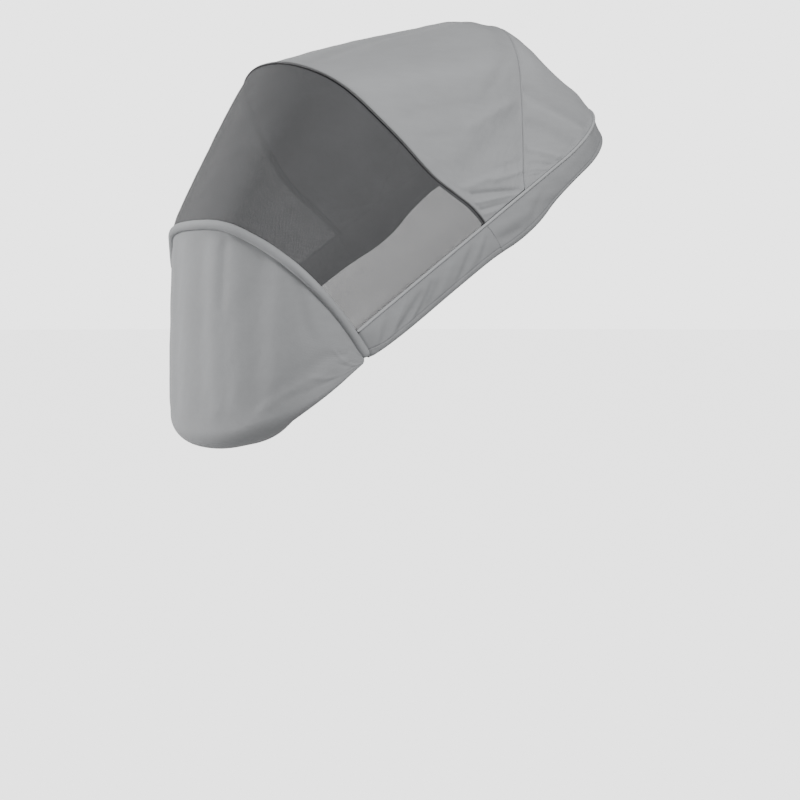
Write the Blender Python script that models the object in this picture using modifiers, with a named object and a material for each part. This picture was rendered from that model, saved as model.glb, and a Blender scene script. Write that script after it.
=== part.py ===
"""Stroller mosquito net: a hooded cover of grey cloth with a sheer front and a foot cover.

Frame: metres, +Z up, the foot end faces -Y and +X is the side seen in the photo. The origin
is the top bow of the seat's own canopy, which carries the cover from inside.

The cover is drawn on its rim plane, the slanted plane of the seat's rim: "along" runs from
the brim's foot down to the toe end, "rise" stands square to that plane, "side" is across.
"""

import math

import bpy
import numpy as np

# Driving sizes, metres unless the name says otherwise.
RIM_SLOPE = math.radians(34.0)
MOUNT_ALONG = -0.223
MOUNT_RISE = 0.2055
HALF_WIDTH = 0.184

CLOTH = 0.0012
NET_CLOTH = 0.0010
GAP = 0.0003
PIPING_RADIUS = 0.0023
BINDING_RADIUS = 0.0066
ZIP_WIDTH = 0.0066
ZIP_THICKNESS = 0.0018

SEAM_FOOT_ALONG = -0.085
SEAM_LEAN = math.radians(48.5)
REAR_ARC_START = -0.170
REAR_ARC_LENGTH = 0.195
REAR_ARC_POWER = 2.0

FOOT_CORNER_ALONG = 0.2625
TOE_ARC_START = 0.300
TOE_ARC_LENGTH = 0.1590
TOE_ARC_POWER = 2.2
TOE_RISE = -0.041
TOE_ROUNDING = 0.016

BAND_DEPTH = 0.038
BAND_BULGE = 0.0065
BAND_REAR_BULGE = 0.0030
BAND_SAG = 0.0060
BAND_SAG_ALONG = -0.060
BAND_SAG_REACH = 0.060
BAND_TUCK = 0.020

# How far pieces keep from the lines they meet on.
RIM_CLEARANCE = PIPING_RADIUS + 0.0006
ZIP_CLEARANCE = 0.0013
SEAM_TRIM = 0.0005
BAND_FRONT_ALONG = 0.2590
REAR_TIP_START = 0.002
BINDING_TIP_START = 0.006
FOOT_TIP_START = 0.020
TIP_ROUNDING = 0.003
TOE_TURN = math.radians(95)
TOE_TUCK_SHARE = 1.2

# A point well inside the hollow, in rim coordinates.
HOLLOW_MIDDLE = (0.0, 0.08, 0.0)

# Rough lengths of the panels, (across, down), which place their folds, and their crowns.
HOOD_SIZE = (0.84, 0.30)
REAR_SIZE = (0.72, 0.17)
NET_SIZE = (0.72, 0.23)
FOOT_SIZE = (0.70, 0.27)
HOOD_CROWN = 0.007
REAR_CROWN = 0.007
NET_CROWN = 0.005
FOOT_CROWN = 0.003

# Rows and columns of the sheets, and points of the cords.
HOOD_COLUMNS = 53
HOOD_ROWS = 11
REAR_COLUMNS = 45
REAR_ROWS = 9
NET_COLUMNS = 37
NET_ROWS = 6
FOOT_COLUMNS = 49
FOOT_ROWS = 10
TOE_TURN_ROWS = 3
BAND_COLUMNS = 27
REAR_BAND_COLUMNS = 47
BAND_ROWS = 7
ZIP_COLUMNS = 47
PIPING_POINTS = 69
BINDING_POINTS = 45
SEAM_FADE_ROWS = 1
END_DENSITY = 0.5

# Arches, from the foot on the near side up to the middle. Columns: rise, along, side.
BRIM_ARCH = (
    (0.000, 0.000, 0.1840),
    (0.020, 0.0045, 0.1848),
    (0.040, 0.0110, 0.1838),
    (0.067, 0.0225, 0.1795),
    (0.096, 0.0350, 0.1755),
    (0.126, 0.0437, 0.1730),
    (0.155, 0.0488, 0.1680),
    (0.183, 0.0532, 0.1600),
    (0.210, 0.0571, 0.1500),
    (0.236, 0.0606, 0.1390),
    (0.260, 0.0648, 0.1260),
    (0.281, 0.0700, 0.1090),
    (0.298, 0.0742, 0.0850),
    (0.310, 0.0768, 0.0580),
    (0.317, 0.0785, 0.0290),
    (0.319, 0.0795, 0.0000),
)
BINDING_ARCH = (
    (-0.0360, 0.2665, 0.1810),
    (0.0090, 0.2690, 0.1805),
    (0.0400, 0.2730, 0.1800),
    (0.0720, 0.2785, 0.1775),
    (0.1000, 0.2825, 0.1690),
    (0.1240, 0.2850, 0.1530),
    (0.1454, 0.2866, 0.1310),
    (0.1667, 0.2899, 0.1050),
    (0.1850, 0.2943, 0.0770),
    (0.1935, 0.2972, 0.0430),
    (0.1960, 0.2990, 0.0000),
)
# The hood's rear seam lies in a leaning plane. Columns: height in that plane, side.
SEAM_BOW = (
    (0.000, 0.1840),
    (0.030, 0.1725),
    (0.088, 0.1540),
    (0.148, 0.1335),
    (0.197, 0.1140),
    (0.229, 0.0940),
    (0.252, 0.0720),
    (0.267, 0.0470),
    (0.274, 0.0230),
    (0.276, 0.0000),
)

# Soft folds. Columns: start (across, down), end (across, down), half width, height.
# Across runs 0 to 1 from the near foot of a panel to its far foot, down runs 0 to 1
# from the panel's first edge to its second. Positive heights stand out.
HOOD_FOLDS = (
    ((0.035, 0.30), (0.060, 0.96), 0.0080, 0.0020),
    ((0.065, 0.35), (0.095, 0.96), 0.0085, -0.0022),
    ((0.100, 0.40), (0.130, 0.95), 0.0100, 0.0020),
    ((0.140, 0.45), (0.170, 0.95), 0.0120, -0.0018),
    ((0.205, 0.25), (0.285, 0.90), 0.0240, -0.0036),
    ((0.300, 0.30), (0.360, 0.80), 0.0260, 0.0024),
    ((0.420, 0.20), (0.430, 0.90), 0.0280, -0.0020),
    ((0.580, 0.15), (0.560, 0.85), 0.0280, -0.0022),
    ((0.700, 0.25), (0.640, 0.80), 0.0260, 0.0024),
    ((0.800, 0.30), (0.730, 0.90), 0.0240, -0.0034),
    ((0.885, 0.35), (0.850, 0.96), 0.0110, 0.0020),
    ((0.935, 0.30), (0.905, 0.96), 0.0090, -0.0020),
)
REAR_FOLDS = (
    ((0.085, 0.15), (0.100, 0.80), 0.0080, -0.0016),
    ((0.125, 0.10), (0.145, 0.80), 0.0090, 0.0020),
    ((0.170, 0.10), (0.200, 0.80), 0.0110, -0.0024),
    ((0.225, 0.10), (0.260, 0.85), 0.0140, 0.0024),
    ((0.295, 0.10), (0.325, 0.85), 0.0170, -0.0032),
    ((0.380, 0.10), (0.395, 0.60), 0.0190, -0.0018),
    ((0.560, 0.15), (0.540, 0.80), 0.0220, 0.0020),
    ((0.670, 0.10), (0.640, 0.85), 0.0170, -0.0028),
    ((0.745, 0.10), (0.710, 0.80), 0.0140, 0.0024),
    ((0.815, 0.10), (0.785, 0.85), 0.0110, -0.0022),
    ((0.870, 0.10), (0.850, 0.80), 0.0090, 0.0018),
)
FOOT_FOLDS = (
    ((0.070, 0.35), (0.190, 0.80), 0.0110, 0.0015),
    ((0.115, 0.30), (0.240, 0.75), 0.0140, -0.0016),
    ((0.280, 0.05), (0.300, 0.85), 0.0200, -0.0030),
    ((0.370, 0.10), (0.375, 0.90), 0.0190, 0.0022),
    ((0.445, 0.05), (0.450, 0.85), 0.0200, -0.0020),
    ((0.540, 0.10), (0.545, 0.90), 0.0220, 0.0022),
    ((0.640, 0.10), (0.635, 0.85), 0.0210, -0.0026),
    ((0.730, 0.10), (0.715, 0.85), 0.0200, 0.0022),
    ((0.890, 0.35), (0.820, 0.80), 0.0130, -0.0020),
)
NET_FOLDS = (
    ((0.190, 0.00), (0.215, 1.00), 0.0300, -0.0018),
    ((0.360, 0.10), (0.380, 0.90), 0.0320, 0.0016),
    ((0.620, 0.10), (0.600, 0.90), 0.0320, 0.0016),
    ((0.815, 0.00), (0.790, 1.00), 0.0300, -0.0018),
)
# Folds of the front bands, across running from the foot cover to the brim's foot.
BAND_FOLDS = (
    ((0.090, 0.05), (0.060, 0.65), 0.0070, 0.0014),
    ((0.170, 0.10), (0.130, 0.70), 0.0080, -0.0016),
    ((0.270, 0.05), (0.220, 0.70), 0.0090, 0.0016),
    ((0.390, 0.10), (0.330, 0.70), 0.0100, -0.0016),
    ((0.520, 0.05), (0.460, 0.70), 0.0110, 0.0014),
    ((0.660, 0.10), (0.610, 0.70), 0.0110, -0.0014),
    ((0.820, 0.05), (0.780, 0.70), 0.0110, 0.0012),
)
REAR_BAND_FOLDS = (
    ((0.080, 0.10), (0.095, 0.70), 0.0120, -0.0014),
    ((0.170, 0.05), (0.180, 0.70), 0.0130, 0.0012),
    ((0.290, 0.05), (0.285, 0.70), 0.0160, -0.0016),
    ((0.430, 0.05), (0.440, 0.70), 0.0180, 0.0012),
    ((0.580, 0.05), (0.570, 0.70), 0.0180, -0.0012),
    ((0.720, 0.05), (0.725, 0.70), 0.0160, 0.0012),
    ((0.850, 0.05), (0.840, 0.70), 0.0130, -0.0014),
)

# Colours, linear, and finishes.
GREY_CLOTH = (0.365, 0.372, 0.380)
BAND_CLOTH = (0.300, 0.306, 0.314)
DARK_NET = (0.045, 0.045, 0.047)
DARK_ZIP = (0.030, 0.030, 0.031)


def clear_scene():
    """Remove every object of the scene."""
    for item in list(bpy.data.objects):
        bpy.data.objects.remove(item, do_unlink=True)


def make_collection():
    """Return the collection that holds the cover's pieces."""
    collection = bpy.data.collections.new("stroller_mosquito_net")
    bpy.context.scene.collection.children.link(collection)
    return collection


def make_material(name, colour, roughness):
    """Return a Principled material of one colour."""
    material = bpy.data.materials.new(name)
    material.use_nodes = True
    shader = material.node_tree.nodes["Principled BSDF"]
    shader.inputs["Base Color"].default_value = (*colour, 1.0)
    shader.inputs["Roughness"].default_value = roughness
    shader.inputs["Metallic"].default_value = 0.0
    return material


def to_world(points):
    """Turn (along, rise, side) points into world (x, y, z)."""
    along, rise, side = np.moveaxis(np.asarray(points, float), -1, 0)
    along = along - MOUNT_ALONG
    rise = rise - MOUNT_RISE
    slope_cos, slope_sin = math.cos(RIM_SLOPE), math.sin(RIM_SLOPE)
    y = -(along * slope_cos + rise * slope_sin)
    z = -along * slope_sin + rise * slope_cos
    return np.stack([side, y, z], axis=-1)


def unit(vectors):
    """Return the vectors at length one."""
    lengths = np.linalg.norm(vectors, axis=-1, keepdims=True)
    return vectors / np.maximum(lengths, 1e-9)


def lengths_along(points):
    """Return the running length at each point of a line."""
    steps = np.linalg.norm(np.diff(points, axis=0), axis=1)
    return np.concatenate([[0.0], np.cumsum(steps)])


def spread(count):
    """Return fractions from 0 to 1 that lie closer together towards both ends."""
    even = np.linspace(0, 1, count)
    return even - END_DENSITY * np.sin(2 * math.pi * even) / (2 * math.pi)


def resample(points, count, start=0.0, end=1.0):
    """Return points on the part of a line between two fractions, closer at its ends."""
    run = lengths_along(points)
    wanted = (start + (end - start) * spread(count)) * run[-1]
    return np.stack([np.interp(wanted, run, column) for column in points.T], axis=-1)


def smooth_line(points, steps=24):
    """Return a fine Catmull-Rom line through the points."""
    points = np.asarray(points, float)
    ends = [2 * points[0] - points[1]], [2 * points[-1] - points[-2]]
    padded = np.concatenate([ends[0], points, ends[1]])
    share = np.linspace(0, 1, steps, endpoint=False)[:, None]
    pieces = []
    for before, first, second, after in zip(padded, padded[1:], padded[2:], padded[3:]):
        pieces.append(
            first
            + 0.5 * share * (second - before)
            + share**2 * (before - 2.5 * first + 2 * second - 0.5 * after)
            + share**3 * (1.5 * first - 1.5 * second + 0.5 * after - 0.5 * before)
        )
    return np.concatenate(pieces + [points[-1:]])


def both_sides(half):
    """Return the line of a near half and its mirrored far half, foot to foot."""
    far = half[-2::-1] * np.array([1.0, 1.0, -1.0])
    return np.concatenate([half, far])


def arch_line(rows, lowest=None):
    """Return an arch of (along, rise, side) points from its table of half sections."""
    table = np.asarray(rows, float)
    half = table[:, [1, 0, 2]]
    mirrored = half[-2] * np.array([1.0, 1.0, -1.0])
    line = smooth_line(np.concatenate([half, [mirrored]]))
    line = line[line[:, 2] >= 0.0]
    line[-1, 2] = 0.0
    if lowest is not None:
        line = line[line[:, 1] >= lowest]
    return both_sides(line)


def seam_line():
    """Return the bow of the hood's rear seam as (along, rise, side) points."""
    table = np.asarray(SEAM_BOW, float)
    half = np.stack(
        [
            SEAM_FOOT_ALONG - table[:, 0] * math.sin(SEAM_LEAN),
            table[:, 0] * math.cos(SEAM_LEAN),
            table[:, 1],
        ],
        axis=-1,
    )
    mirrored = half[-2] * np.array([1.0, 1.0, -1.0])
    line = smooth_line(np.concatenate([half, [mirrored]]))
    line = line[line[:, 2] >= 0.0]
    line[-1, 2] = 0.0
    return both_sides(line)


def rounded_end(start, length, power, count=60):
    """Return the half outline of a rounded end, from the near side to the middle."""
    angle = np.linspace(0, math.pi / 2, count)
    along = start + length * np.sin(angle) ** (2 / power)
    side = HALF_WIDTH * np.cos(angle) ** (2 / power)
    return along, side


def rim_line(rise=0.0):
    """Return the rim's outline from the near foot corner round the rear to the far one."""
    along, side = rounded_end(0.0, REAR_ARC_LENGTH, REAR_ARC_POWER)
    straight = np.linspace(FOOT_CORNER_ALONG, REAR_ARC_START, 60)[:-1]
    half = np.concatenate(
        [
            np.stack([straight, np.full_like(straight, HALF_WIDTH)], axis=-1),
            np.stack([REAR_ARC_START - along, side], axis=-1),
        ]
    )
    line = np.stack([half[:, 0], np.full(len(half), rise), half[:, 1]], axis=-1)
    return both_sides(line)


def toe_line():
    """Return the foot cover's lower outline from the near corner round the toe."""
    along, side = rounded_end(TOE_ARC_START, TOE_ARC_LENGTH, TOE_ARC_POWER)
    straight = np.linspace(FOOT_CORNER_ALONG, TOE_ARC_START, 20)[:-1]
    along = np.concatenate([straight, along])
    side = np.concatenate([np.full_like(straight, HALF_WIDTH), side])
    share = (along - along[0]) / (along[-1] - along[0])
    rise = -BAND_DEPTH + (TOE_RISE + BAND_DEPTH) * share**2
    return both_sides(np.stack([along, rise, side], axis=-1))


def loft(first, second, rows, first_trim, second_trim):
    """Return rows of points from one line to another, each end drawn in by a length."""
    leg = unit(second - first)
    start = first + leg * first_trim
    end = second - leg * second_trim
    share = np.linspace(0, 1, rows)[:, None, None]
    return start + (end - start) * share


def kept_clear(first, second, cord, distance, samples=400):
    """Return the points where the legs from first to second leave a cord by a distance."""
    share = np.linspace(0, 1, samples)[:, None]
    kept = []
    for begin, end in zip(first, second):
        places = begin + (end - begin) * share
        away = np.linalg.norm(places[:, None] - cord[None], axis=2).min(axis=1)
        inside = np.flatnonzero(away < distance)
        kept.append(places[inside[-1] + 1 if len(inside) else 0])
    return np.array(kept)


def outward_normals(grid):
    """Return unit normals of a grid of world points, turned away from the hollow."""
    down = np.gradient(grid, axis=0)
    across = np.gradient(grid, axis=1)
    normals = unit(np.cross(down, across))
    hollow = to_world(HOLLOW_MIDDLE)
    turned = ((grid - hollow) * normals).sum()
    return normals if turned > 0 else -normals


def fold_height(rows, columns, size, folds):
    """Return the height of a table of folds at each point of a grid.

    The places are fractions, and size gives the panel's (across, down) lengths.
    """
    across, down = np.meshgrid(spread(columns), np.linspace(0, 1, rows))
    height = np.zeros_like(across)
    for start, end, half_width, rise in folds:
        first = np.array(start) * size
        leg = np.array(end) * size - first
        reach = np.linalg.norm(leg)
        place_across = across * size[0] - first[0]
        place_down = down * size[1] - first[1]
        run = (place_across * leg[0] + place_down * leg[1]) / reach
        off = (place_across * leg[1] - place_down * leg[0]) / reach
        beyond = np.maximum(np.maximum(-run, run - reach), 0)
        fade = np.exp(-((off / half_width) ** 2) - (beyond / (2 * half_width)) ** 2)
        height += rise * fade
    return height


def crown_height(rows, columns, crown):
    """Return a height that is greatest at a panel's middle and nothing on its edges."""
    across, down = np.meshgrid(spread(columns), np.linspace(0, 1, rows))
    return crown * np.sin(math.pi * down) * np.sin(math.pi * across) ** 0.5


def edge_fade(rows, columns, first_rows, second_rows):
    """Return a factor that brings folds down to nothing at a panel's seams."""
    row = np.arange(rows)[:, None]
    near_first = np.clip(row / max(first_rows, 1), 0, 1)
    near_second = np.clip((rows - 1 - row) / max(second_rows, 1), 0, 1)
    return np.broadcast_to(near_first * near_second, (rows, columns))


def folded(grid, size, folds, crown):
    """Return a rim grid in world points, with its crown and its folds."""
    rows, columns = grid.shape[:2]
    world = to_world(grid)
    height = fold_height(rows, columns, size, folds) + crown_height(rows, columns, crown)
    height = height * edge_fade(rows, columns, SEAM_FADE_ROWS, SEAM_FADE_ROWS)
    return world + outward_normals(world) * height[..., None]


def sheet_object(name, points, thickness, material, collection):
    """Make a cloth piece whose outer face is a grid of world points."""
    rows, columns = points.shape[:2]
    down = points[rows // 2 + 1, columns // 2] - points[rows // 2, columns // 2]
    across = points[rows // 2, columns // 2 + 1] - points[rows // 2, columns // 2]
    outward = outward_normals(points)[rows // 2, columns // 2]
    faces_out = np.cross(down, across).dot(outward) > 0
    faces = []
    for row in range(rows - 1):
        for column in range(columns - 1):
            corner = row * columns + column
            face = (corner, corner + columns, corner + columns + 1, corner + 1)
            faces.append(face if faces_out else face[::-1])
    mesh = bpy.data.meshes.new(name)
    mesh.from_pydata(points.reshape(-1, 3).tolist(), [], faces)
    mesh.update()
    piece = bpy.data.objects.new(name, mesh)
    collection.objects.link(piece)
    piece.data.materials.append(material)
    shell = piece.modifiers.new("thickness", "SOLIDIFY")
    shell.thickness = thickness
    shell.offset = -1.0
    mesh.shade_smooth()
    return piece


def cord_object(name, line, radius, material, collection):
    """Make a round cord along a line of rim points."""
    curve = bpy.data.curves.new(name, "CURVE")
    curve.dimensions = "3D"
    curve.bevel_depth = radius
    curve.bevel_resolution = 2
    curve.use_fill_caps = True
    spline = curve.splines.new("POLY")
    world = to_world(line)
    spline.points.add(len(world) - 1)
    for point, place in zip(spline.points, world):
        point.co = (*place, 1.0)
    piece = bpy.data.objects.new(name, curve)
    collection.objects.link(piece)
    curve.materials.append(material)
    return piece


def strip_object(name, line, outward, width, thickness, material, collection):
    """Make a flat strip along a line of world points, its outer face turned outward."""
    tangent = unit(np.gradient(line, axis=0))
    normal = unit(outward - (outward * tangent).sum(1, keepdims=True) * tangent)
    across = np.cross(tangent, normal)
    corners = ((-0.5, 0.3), (0.5, 0.3), (0.5, -0.7), (-0.5, -0.7))
    rings = [line + across * width * x + normal * thickness * y for x, y in corners]
    points = np.stack(rings, axis=1).reshape(-1, 3)
    count = len(corners)
    faces = []
    for ring in range(len(line) - 1):
        for corner in range(count):
            first = ring * count + corner
            second = ring * count + (corner + 1) % count
            faces.append((first, second, second + count, first + count))
    last = (len(line) - 1) * count
    faces.append(tuple(range(count - 1, -1, -1)))
    faces.append(tuple(range(last, last + count)))
    mesh = bpy.data.meshes.new(name)
    mesh.from_pydata(points.tolist(), [], faces)
    mesh.update()
    piece = bpy.data.objects.new(name, mesh)
    collection.objects.link(piece)
    piece.data.materials.append(material)
    return piece


def hood_main_grid():
    """Return the hood's main panel, from the brim's zip back to the rear seam."""
    brim = resample(arch_line(BRIM_ARCH, RIM_CLEARANCE), HOOD_COLUMNS)
    seam = seam_line()
    seam = resample(seam[seam[:, 1] >= RIM_CLEARANCE], HOOD_COLUMNS)
    grid = loft(brim, seam, HOOD_ROWS, ZIP_WIDTH / 2 + ZIP_CLEARANCE, SEAM_TRIM)
    return folded(grid, HOOD_SIZE, HOOD_FOLDS, HOOD_CROWN)


def hood_rear_grid():
    """Return the hood's rear panel, from the seam back and down to the rim."""
    seam = seam_line()
    seam = resample(seam[seam[:, 1] >= RIM_CLEARANCE], REAR_COLUMNS, REAR_TIP_START, 1 - REAR_TIP_START)
    rim = rim_line(RIM_CLEARANCE)
    rim = rim[rim[:, 0] <= SEAM_FOOT_ALONG]
    rim = resample(rim, REAR_COLUMNS, REAR_TIP_START, 1 - REAR_TIP_START)
    grid = loft(seam, rim, REAR_ROWS, SEAM_TRIM, 0.0)
    return folded(grid, REAR_SIZE, REAR_FOLDS, REAR_CROWN)


def net_grid():
    """Return the net, from the brim's zip down to the foot cover's binding."""
    brim = resample(arch_line(BRIM_ARCH, RIM_CLEARANCE), NET_COLUMNS)
    binding = resample(arch_line(BINDING_ARCH, RIM_CLEARANCE), NET_COLUMNS)
    cord = arch_line(BINDING_ARCH)
    binding = kept_clear(binding, brim, cord, BINDING_RADIUS + GAP)
    grid = loft(brim, binding, NET_ROWS, ZIP_WIDTH / 2 + ZIP_CLEARANCE, 0.0)
    return folded(grid, NET_SIZE, NET_FOLDS, NET_CROWN)


def foot_grid():
    """Return the foot cover: its face, the rounded toe and the edge tucked under it."""
    cord = arch_line(BINDING_ARCH)
    binding = resample(cord, FOOT_COLUMNS, BINDING_TIP_START, 1 - BINDING_TIP_START)
    toe = toe_line()
    toe = resample(toe, FOOT_COLUMNS, FOOT_TIP_START, 1 - FOOT_TIP_START)
    binding = kept_clear(binding, toe, cord, BINDING_RADIUS + 2 * GAP)
    face = loft(binding, toe, FOOT_ROWS, 0.0, 0.0)
    world = folded(face, FOOT_SIZE, FOOT_FOLDS, FOOT_CROWN)
    outline = to_world(toe)
    along = unit(np.gradient(outline, axis=0))
    fall = unit(world[-1] - world[-3])
    outward = outward_normals(world)[-1]
    outward = unit(outward - (outward * along).sum(1, keepdims=True) * along)
    outward = unit(outward - (outward * fall).sum(1, keepdims=True) * fall)
    width = np.sin(np.linspace(0, math.pi, FOOT_COLUMNS)) ** 0.5
    radius = (TIP_ROUNDING + (TOE_ROUNDING - TIP_ROUNDING) * width)[:, None]
    rows = [row for row in world]
    for turn in np.linspace(0, TOE_TURN, TOE_TURN_ROWS + 1)[1:]:
        rows.append(world[-1] + radius * (outward * (math.cos(turn) - 1) + fall * math.sin(turn)))
    lead = fall * math.cos(TOE_TURN) - outward * math.sin(TOE_TURN)
    rows.append(rows[-1] + lead * radius * TOE_TUCK_SHARE)
    return np.stack(rows)


def band_section(bulge, depth):
    """Return a band's section, from the piping down and under, as (out, rise) points."""
    top = -(PIPING_RADIUS + GAP)
    shares = (
        (0.0, 0.0, 0.0),
        (0.75, 0.0, 0.25),
        (1.00, 0.0, 0.52),
        (0.70, 0.0, 0.80),
        (0.00, 0.1, 1.00),
        (0.00, 0.5, 1.04),
        (0.00, 1.0, 0.97),
    )
    rows = [
        (bulge * swell - BAND_TUCK * tuck, top + (-depth - top) * fall)
        for swell, tuck, fall in shares
    ]
    return resample(smooth_line(rows, 12), BAND_ROWS)


def band_grid(line, bulges, folds):
    """Return a band along a stretch of the rim, as a grid of world points."""
    along = unit(np.gradient(line, axis=0))
    outward = np.cross(along, np.array([0.0, 1.0, 0.0]))
    middle = line - np.array([REAR_ARC_START, 0.0, 0.0])
    if (outward * middle).sum() < 0:
        outward = -outward
    rows = []
    sag = np.exp(-(((line[:, 0] - BAND_SAG_ALONG) / BAND_SAG_REACH) ** 2))
    depths = BAND_DEPTH + BAND_SAG * sag
    sections = np.stack([band_section(*pair) for pair in zip(bulges, depths)], axis=1)
    for out, rise in zip(sections[..., 0], sections[..., 1]):
        rows.append(line + outward * out[:, None] + np.array([0.0, 1.0, 0.0]) * rise[:, None])
    grid = np.stack(rows)
    size = (lengths_along(line)[-1], BAND_DEPTH + BAND_TUCK)
    return folded(grid, size, folds, 0.0)


def near_band_line():
    """Return the rim's near stretch from the foot cover's binding to the brim's foot."""
    along = np.linspace(BAND_FRONT_ALONG, GAP, BAND_COLUMNS)
    return np.stack([along, np.zeros(BAND_COLUMNS), np.full(BAND_COLUMNS, HALF_WIDTH)], axis=-1)


def rear_band_line():
    """Return the rim behind the brim's feet, from the near side round to the far side."""
    line = rim_line()
    return resample(line[line[:, 0] <= -GAP], REAR_BAND_COLUMNS)


def brim_zip_line():
    """Return the zip's middle line in world points, with its outward direction."""
    line = resample(arch_line(BRIM_ARCH, RIM_CLEARANCE), ZIP_COLUMNS)
    seam = seam_line()
    seam = resample(seam[seam[:, 1] >= RIM_CLEARANCE], ZIP_COLUMNS)
    binding = resample(arch_line(BINDING_ARCH, RIM_CLEARANCE), ZIP_COLUMNS)
    world = to_world(line)
    hood = outward_normals(to_world(loft(line, seam, 3, 0.0, 0.0)))[0]
    net = outward_normals(to_world(loft(line, binding, 3, 0.0, 0.0)))[0]
    return world, unit(hood + net)


def build():
    """Make every piece of the cover."""
    clear_scene()
    collection = make_collection()
    grey = make_material("grey_cloth", GREY_CLOTH, 0.72)
    band_grey = make_material("band_cloth", BAND_CLOTH, 0.74)
    dark_net = make_material("dark_net", DARK_NET, 0.60)
    dark_zip = make_material("dark_zip", DARK_ZIP, 0.45)

    sheet_object("hood_main", hood_main_grid(), CLOTH, grey, collection)
    sheet_object("hood_rear", hood_rear_grid(), CLOTH, grey, collection)
    sheet_object("net", net_grid(), NET_CLOTH, dark_net, collection)
    sheet_object("foot_cover", foot_grid(), CLOTH, grey, collection)

    zip_line, zip_outward = brim_zip_line()
    strip_object(
        "brim_zip", zip_line, zip_outward, ZIP_WIDTH, ZIP_THICKNESS, dark_zip, collection
    )
    rim = rim_line()
    rim = rim[rim[:, 0] <= BAND_FRONT_ALONG]
    cord_object("rim_piping", resample(rim, PIPING_POINTS), PIPING_RADIUS, band_grey, collection)
    binding = resample(arch_line(BINDING_ARCH), BINDING_POINTS)
    cord_object("foot_binding", binding, BINDING_RADIUS, grey, collection)

    near = near_band_line()
    bulges = np.full(BAND_COLUMNS, BAND_BULGE)
    sheet_object("band_left", band_grid(near, bulges, BAND_FOLDS), CLOTH, band_grey, collection)
    far = near * np.array([1.0, 1.0, -1.0])
    sheet_object(
        "band_right", band_grid(far, bulges, BAND_FOLDS[::-2]), CLOTH, band_grey, collection
    )
    rear = rear_band_line()
    swell = np.sin(np.linspace(0, math.pi, REAR_BAND_COLUMNS))
    bulges = BAND_BULGE + (BAND_REAR_BULGE - BAND_BULGE) * swell
    sheet_object(
        "band_rear", band_grid(rear, bulges, REAR_BAND_FOLDS), CLOTH, band_grey, collection
    )


build()
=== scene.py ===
"""Looks of the stroller mosquito net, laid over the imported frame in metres."""

import logging
import math
from collections.abc import Sequence
from dataclasses import dataclass
from enum import Enum

import bpy
import numpy as np
from mathutils import Euler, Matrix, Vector


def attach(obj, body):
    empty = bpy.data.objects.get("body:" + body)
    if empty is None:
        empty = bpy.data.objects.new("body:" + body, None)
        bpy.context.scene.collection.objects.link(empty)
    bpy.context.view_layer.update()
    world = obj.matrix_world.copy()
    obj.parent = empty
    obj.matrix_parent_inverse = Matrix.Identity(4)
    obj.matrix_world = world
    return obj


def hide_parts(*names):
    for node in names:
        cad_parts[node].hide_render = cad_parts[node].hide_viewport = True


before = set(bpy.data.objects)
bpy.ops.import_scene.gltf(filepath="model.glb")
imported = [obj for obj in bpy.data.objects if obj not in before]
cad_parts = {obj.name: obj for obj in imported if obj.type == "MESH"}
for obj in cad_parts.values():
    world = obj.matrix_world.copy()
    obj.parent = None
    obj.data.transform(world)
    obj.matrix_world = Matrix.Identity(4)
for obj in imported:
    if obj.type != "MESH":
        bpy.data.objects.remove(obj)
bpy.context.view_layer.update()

LOG = logging.getLogger("stroller_mosquito_net")
MM = 0.001
UV_NAME = "cloth"
FOLD_SHADE_NAME = "fold"

Points = np.ndarray
Shade = tuple[float, float, float]
Place = tuple[float, float, float]
Socket = bpy.types.NodeSocket
Piece = bpy.types.Object


class Way(Enum):
    """The ways in which a sheet is held."""

    STRETCHED = "stretched"
    HUNG = "hung"


# --------------------------------------------------------------------------- shader nodes


class Wire:
    """A number socket on which Python's operators add Math nodes."""

    def __init__(self, kit: "NodeKit", socket: Socket) -> None:
        self.kit = kit
        self.socket = socket

    def maths(self, operation: str, *values: "Wire | float") -> "Wire":
        """Add one Math node.

        Args:
            operation: The Math node's operation.
            *values: Its inputs, in order.

        Returns:
            The node's output.
        """
        node = self.kit.add("ShaderNodeMath", {"operation": operation}, dict(enumerate(values)))
        return Wire(self.kit, node.outputs[0])

    def __add__(self, other: "Wire | float") -> "Wire":
        """Return self + other."""
        return self.maths("ADD", self, other)

    def __radd__(self, other: float) -> "Wire":
        """Return other + self."""
        return self.maths("ADD", other, self)

    def __sub__(self, other: "Wire | float") -> "Wire":
        """Return self - other."""
        return self.maths("SUBTRACT", self, other)

    def __rsub__(self, other: float) -> "Wire":
        """Return other - self."""
        return self.maths("SUBTRACT", other, self)

    def __mul__(self, other: "Wire | float") -> "Wire":
        """Return self * other."""
        return self.maths("MULTIPLY", self, other)

    def __rmul__(self, other: float) -> "Wire":
        """Return other * self."""
        return self.maths("MULTIPLY", other, self)

    def sine(self) -> "Wire":
        """Return the sine of self."""
        return self.maths("SINE", self)

    def size(self) -> "Wire":
        """Return self without its sign."""
        return self.maths("ABSOLUTE", self)

    def lesser(self, other: "Wire | float") -> "Wire":
        """Return the lesser of self and other."""
        return self.maths("MINIMUM", self, other)

    def around(self, middle: float, width: float) -> "Wire":
        """Turn self, a noise from 0 to 1, into a number that varies around a middle."""
        return (middle - 0.5 * width) + self * width

    def ease(self, low: float, high: float, start: float = 0.0, end: float = 1.0) -> "Wire":
        """Turn a range of self smoothly into another range.

        Args:
            low: Where the change starts.
            high: Where the change ends.
            start: The value up to low.
            end: The value past high.

        Returns:
            The eased number.
        """
        settings = {"interpolation_type": "SMOOTHSTEP"}
        inputs = {"Value": self, "From Min": low, "From Max": high, "To Min": start, "To Max": end}
        return Wire(self.kit, self.kit.add("ShaderNodeMapRange", settings, inputs).outputs[0])


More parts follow.
